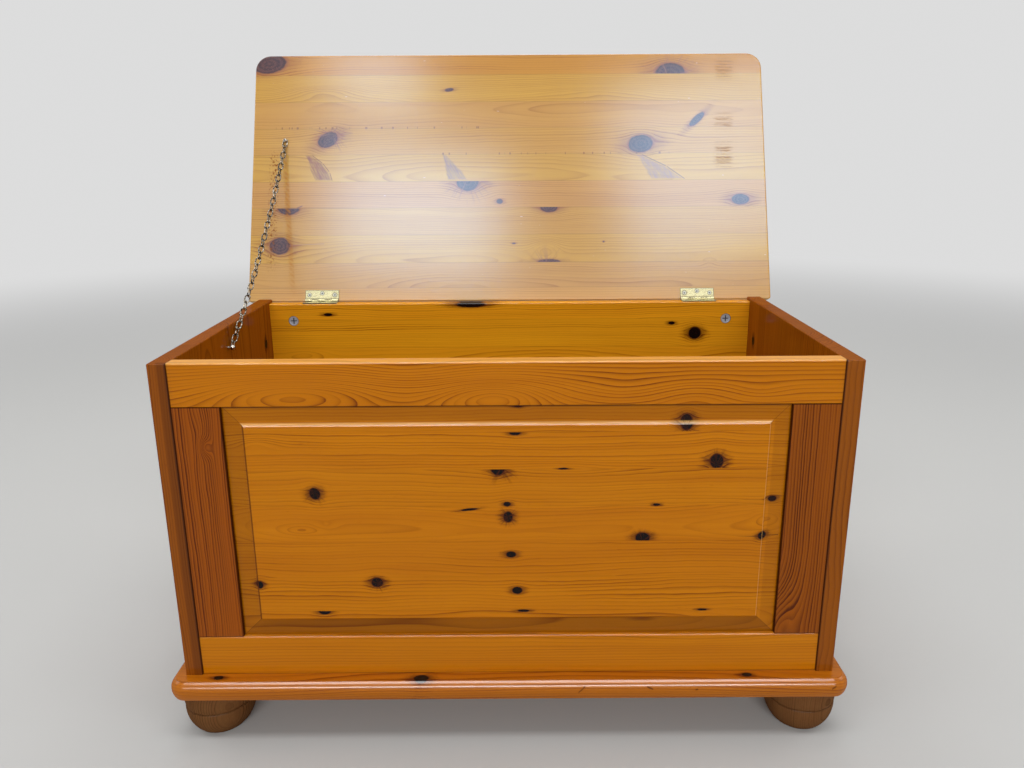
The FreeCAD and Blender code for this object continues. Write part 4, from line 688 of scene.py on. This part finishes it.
def hinge_darkening(tree, point):
    """Darker rings round the screws and along the leaf's edges, a dark line where the leaf meets its
    knuckles, and one along two of the knuckles.
    """
    along, y, z, reach = from_hinge(tree, point)
    darkening = [tree.range(tree.absolute(along), 24.2, 25.2, 0.0, 0.8), tree.range(reach, 14.8, 15.9, 0.0, 0.8),
             tree.range(tree.absolute(reach - 3.1), 0.3, 0.9, 0.75, 0.0)]
    for (screw, depth), wide in zip(HINGE_SCREWS, (5.2, 4.0, 4.0)):
        away = tree.length(along - screw, reach - depth)
        darkening.append(tree.range(away, 2.9, wide, 0.85, 0.0))
    slit = tree.range(tree.absolute(tree.absolute(along) - 10.0), 4.5, 6.0, 1.0, 0.0)
    slit = slit * tree.math("LESS_THAN", y, 0.0) * tree.math("LESS_THAN", reach, 3.3)
    slit = slit * tree.range(tree.absolute(y * 0.6 + z * 0.8), 0.4, 0.8, 1.0, 0.0)
    return tree.most(*darkening, slit)


def hinge_screw_shade(tree, point):
    """Painted shade in the middle of the hinge screws' heads."""
    along, _, _, reach = from_hinge(tree, point)
    return tree.most(*(tree.range(tree.length(along - screw, reach - depth), 0.9, 1.6, 1.0, 0.0)
                       for screw, depth in HINGE_SCREWS))


def cam_shade(tree, point):
    """Painted shade in the cams' cross slots and dished faces, and a rim of painted shade centred on the
    back board's cams.

    The front rails' cams stand at other heights: the rim covers the lower two and is off-centre above.
    """
    x, y, z = tree.along(point, XYZ)
    depth = tree.absolute(y - CAM_MIDDLE) - CAM_REACH
    inside = tree.most(tree.range(depth, 0.2, 0.6, 0.0, 0.35), tree.range(depth, 0.9, 1.3, 0.0, 0.97))
    along = tree.absolute(x) - CAM_X
    rise = tree.absolute(z - FLOOR_TO_CASE - CAM_LEVEL) - CAM_SPREAD
    rim = tree.range(tree.length(along, rise), 5.9, 7.2, 0.0, 0.9)
    return tree.most(rim, inside)


def chain_screw_shade(tree, point):
    """Painted shade in the middle of the two chain screws' heads."""
    x, y, z = tree.along(point, XYZ)
    up_lid = (y - AXIS_Y) * LID_UP[1] + (z - AXIS_Z) * LID_UP[2] - CHAIN_LID_UP
    on_lid = tree.length(up_lid, x - CHAIN_LID_X)
    on_case = tree.length(y - CHAIN_CASE_Y, z - CHAIN_CASE_Z)
    return tree.range(tree.least(on_lid, on_case), 0.9, 1.7, 1.0, 0.0)


brass = metal("brass_plate", (0.53, 0.49, 0.29), (0.07, 0.06, 0.035), 0.26, marks=hinge_darkening)
hinge_screw_steel = metal("hinge_screw_steel", (0.44, 0.44, 0.38), (0.03, 0.03, 0.03), 0.28,
                          marks=hinge_screw_shade)
screw_steel = metal("screw_steel", (0.62, 0.60, 0.55), (0.03, 0.025, 0.02), 0.25, marks=chain_screw_shade)
steel = metal("zinc_steel", (0.44, 0.44, 0.41), (0.13, 0.12, 0.11), 0.28)
cam_zinc = metal("cam_zinc", (0.66, 0.72, 0.80), (0.05, 0.06, 0.08), 0.32, spotted=(0.50, 0.70, 0.5),
                 metallic=0.4, marks=cam_shade)
# the chain's near-black spots are painted shade that stands in for the shade between its links, besides
# tarnish
chain_metal = metal("chain_metal", (0.46, 0.41, 0.33), (0.014, 0.011, 0.008), 0.22, 380.0, (0.40, 0.56, 1.0))
beech = wood("beech", (0, 0, 0), ALONG_X, ALONG_Z, ALONG_Y, early=(0.62, 0.42, 0.24),
             late=(0.45, 0.27, 0.14), spacing=1.2, seed=70, coat=0.0)

LOOKS = {
    "raised_panel": panel_wood, "top_rail": top_rail_wood, "bottom_rail": bottom_rail_wood,
    "stile_left": left_stile_wood, "stile_right": right_stile_wood, "back_board": lightened_back_wood,
    "side_left": shaded_side_woods[0], "side_right": shaded_side_woods[1], "base_board": base_wood,
    "lid_board": lid_wood, "dowels": beech, "foot_bolts": steel, "base_screws": steel,
    "cam_bolts": steel, "hinge_case_screws": hinge_screw_steel, "hinge_lid_screws": hinge_screw_steel,
    "front_cams": cam_zinc, "back_cams": cam_zinc,
}
for number, (name, x, y) in enumerate((
        ("foot_front_left", -FOOT_X, FOOT_FRONT), ("foot_front_right", FOOT_X, FOOT_FRONT),
        ("foot_rear_left", -FOOT_X, FOOT_REAR), ("foot_rear_right", FOOT_X, FOOT_REAR))):
    LOOKS[name] = foot_wood(f"pine_{name}", x, y, 80 + number)
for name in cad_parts:
    if name.startswith("hinge_") and "screws" not in name:
        LOOKS[name] = brass
    elif name.startswith("chain_"):
        LOOKS[name] = screw_steel if "screw" in name else chain_metal

for name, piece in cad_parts.items():
    piece.data.materials.clear()
    piece.data.materials.append(LOOKS[name])


# ------------------------------------------------------------------ floor, light and camera

BACKDROP = 0.72                    # brightness of the sky and of the floor's far end
SKY_LIGHT = 0.28                   # brightness of the sky as the object's light
FADE = (1.3, 4.5)                  # metres from the middle over which the floor turns into the backdrop


def studio_floor():
    """Pale grey that fades into the backdrop's white a few metres out."""
    tree = Tree("floor")
    place = Val(tree, tree.add("ShaderNodeTexCoord").outputs["Object"])
    paths = tree.add("ShaderNodeLightPath")
    direct = tree.most(Val(tree, paths.outputs["Is Camera Ray"]), Val(tree, paths.outputs["Is Glossy Ray"]))
    fade = tree.range(tree.vector("LENGTH", place, output=1), *FADE, smooth=True) * direct
    shader = tree.add("ShaderNodeBsdfDiffuse", {"Color": (0.50, 0.50, 0.49, 1.0)})
    backdrop = tree.add("ShaderNodeEmission", {"Color": (1.0, 1.0, 1.0, 1.0), "Strength": BACKDROP})
    mixed = tree.add("ShaderNodeMixShader", {0: fade})
    tree.links.new(shader.outputs[0], mixed.inputs[1])
    tree.links.new(backdrop.outputs[0], mixed.inputs[2])
    tree.links.new(mixed.outputs[0], tree.add("ShaderNodeOutputMaterial").inputs[0])
    return tree.material


bpy.ops.mesh.primitive_plane_add(size=60.0, location=(0, 0, 0))
floor = bpy.context.object
floor.name = "floor"
floor.data.materials.append(studio_floor())

# rays that light the object see a dimmer sky than the camera and the reflections do
world = bpy.data.worlds.new("studio")
bpy.context.scene.world = world
world.use_nodes = True
sky = world.node_tree
sky.nodes.clear()
paths = sky.nodes.new("ShaderNodeLightPath")
seen = sky.nodes.new("ShaderNodeMath")
seen.operation = "MAXIMUM"
sky.links.new(paths.outputs["Is Camera Ray"], seen.inputs[0])
sky.links.new(paths.outputs["Is Glossy Ray"], seen.inputs[1])
level = sky.nodes.new("ShaderNodeMapRange")
level.inputs[3].default_value = SKY_LIGHT
level.inputs[4].default_value = BACKDROP
sky.links.new(seen.outputs[0], level.inputs[0])
glow = sky.nodes.new("ShaderNodeBackground")
glow.inputs["Color"].default_value = (1.0, 1.0, 1.0, 1.0)
sky.links.new(level.outputs[0], glow.inputs["Strength"])
out = sky.nodes.new("ShaderNodeOutputWorld")
sky.links.new(glow.outputs[0], out.inputs[0])


def softbox(name, place, target, wide, tall, power, colour=(1.0, 1.0, 1.0), glints_on=None):
    """A rectangular lamp. One with glints_on shows only in the gloss of those pieces."""
    light = bpy.data.lights.new(name, "AREA")
    light.shape, light.color = "RECTANGLE", colour
    light.size, light.size_y, light.energy = wide, tall, power
    lamp = bpy.data.objects.new(name, light)
    lamp.location = place
    lamp.rotation_euler = (Vector(target) - Vector(place)).to_track_quat("-Z", "Y").to_euler()
    lamp.visible_camera = False
    bpy.context.scene.collection.objects.link(lamp)
    if glints_on is not None:
        lamp.visible_diffuse = False
        lamp.light_linking.receiver_collection = glints_on


def lit_by_glints(name, pieces):
    """The collection of pieces that a lamp's gloss is kept to."""
    group = bpy.data.collections.new(name)
    for piece in pieces:
        group.objects.link(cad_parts[piece])
    return group


WINDOW = (0.42, 0.70, 1.0)
on_lid = lit_by_glints("lid_gloss", ["lid_board"])
CASE_WOOD = ("side_", "top_", "bottom_", "stile_", "raised_", "back_board", "base_board", "foot_front",
             "foot_rear")
on_case = lit_by_glints("case_gloss", [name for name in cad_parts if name.startswith(CASE_WOOD)])
softbox("key", (0.0, -3.3, 1.70), (0.0, -0.1, 0.35), 3.2, 0.45, 68.0)
softbox("top", (0.0, -0.8, 3.1), (0.0, -0.2, 0.3), 3.0, 0.6, 30.0)
softbox("top_rear", (0.0, 0.5, 3.0), (0.0, 0.0, 0.3), 3.0, 0.6, 24.0)
softbox("left", (-2.6, 0.2, 1.8), (0.0, 0.0, 0.3), 1.6, 1.2, 18.0)
softbox("right", (2.6, 0.2, 1.8), (0.0, 0.0, 0.3), 1.6, 1.2, 18.0)
softbox("back", (0.0, 2.8, 2.0), (0.0, 0.1, 0.4), 2.0, 1.2, 26.0)
softbox("glint_low", (0.0, -3.25, 1.66), (0.0, -0.25, 0.38), 3.2, 0.60, 150.0, glints_on=on_case)
softbox("glint_high", (0.0, -1.25, 2.80), (0.0, -0.25, 0.38), 3.0, 0.90, 170.0, glints_on=on_case)
softbox("glare_left", (-0.40, -1.42, 1.80), (-0.15, 0.17, 0.58), 0.70, 0.46, 18.0, WINDOW, on_lid)
softbox("glare_right", (0.76, -1.28, 1.92), (0.28, 0.2, 0.65), 0.70, 0.70, 21.0, WINDOW, on_lid)
softbox("glare_top", (-0.55, -1.12, 2.24), (-0.2, 0.25, 0.8), 0.36, 0.20, 4.5, WINDOW, on_lid)
softbox("glare_low", (0.1, -1.60, 1.55), (0.0, 0.12, 0.5), 2.6, 0.26, 3.0, (0.7, 0.85, 1.0), on_lid)

# the photo's camera, solved from the chest's edges; the photo's size, focal length and centre are in px
YAW, PITCH, ROLL = math.radians(0.02), math.radians(14.6655), math.radians(-0.35)
PHOTO_WIDE, PHOTO_TALL = 1024, 768
FOCAL, CENTRE_X, CENTRE_Y = 785.05, 519.40, 357.67
SENSOR = 36.0                              # mm
CAMERA_AT = (0.01388, -1.05717, 0.67064)   # metres
ahead =Vector((math.sin(YAW) * math.cos(PITCH), math.cos(YAW) * math.cos(PITCH), -math.sin(PITCH)))
level_right = Vector((math.cos(YAW), -math.sin(YAW), 0))
level_up = level_right.cross(ahead)
right = level_right * math.cos(ROLL) + level_up * math.sin(ROLL)
up = level_up * math.cos(ROLL) - level_right * math.sin(ROLL)
lens = bpy.data.cameras.new("camera")
lens.sensor_width = SENSOR
lens.lens = FOCAL / PHOTO_WIDE * SENSOR
lens.shift_x = (PHOTO_WIDE / 2 - CENTRE_X) / PHOTO_WIDE
lens.shift_y = (CENTRE_Y - PHOTO_TALL / 2) / PHOTO_WIDE
lens.clip_start = 0.05
camera = bpy.data.objects.new("camera", lens)
camera.matrix_world = Matrix.Translation(CAMERA_AT) @ Matrix((right, up, -ahead)).transposed().to_4x4()
bpy.context.scene.collection.objects.link(camera)
bpy.context.scene.camera = camera
bpy.context.scene.view_settings.view_transform = "Standard"
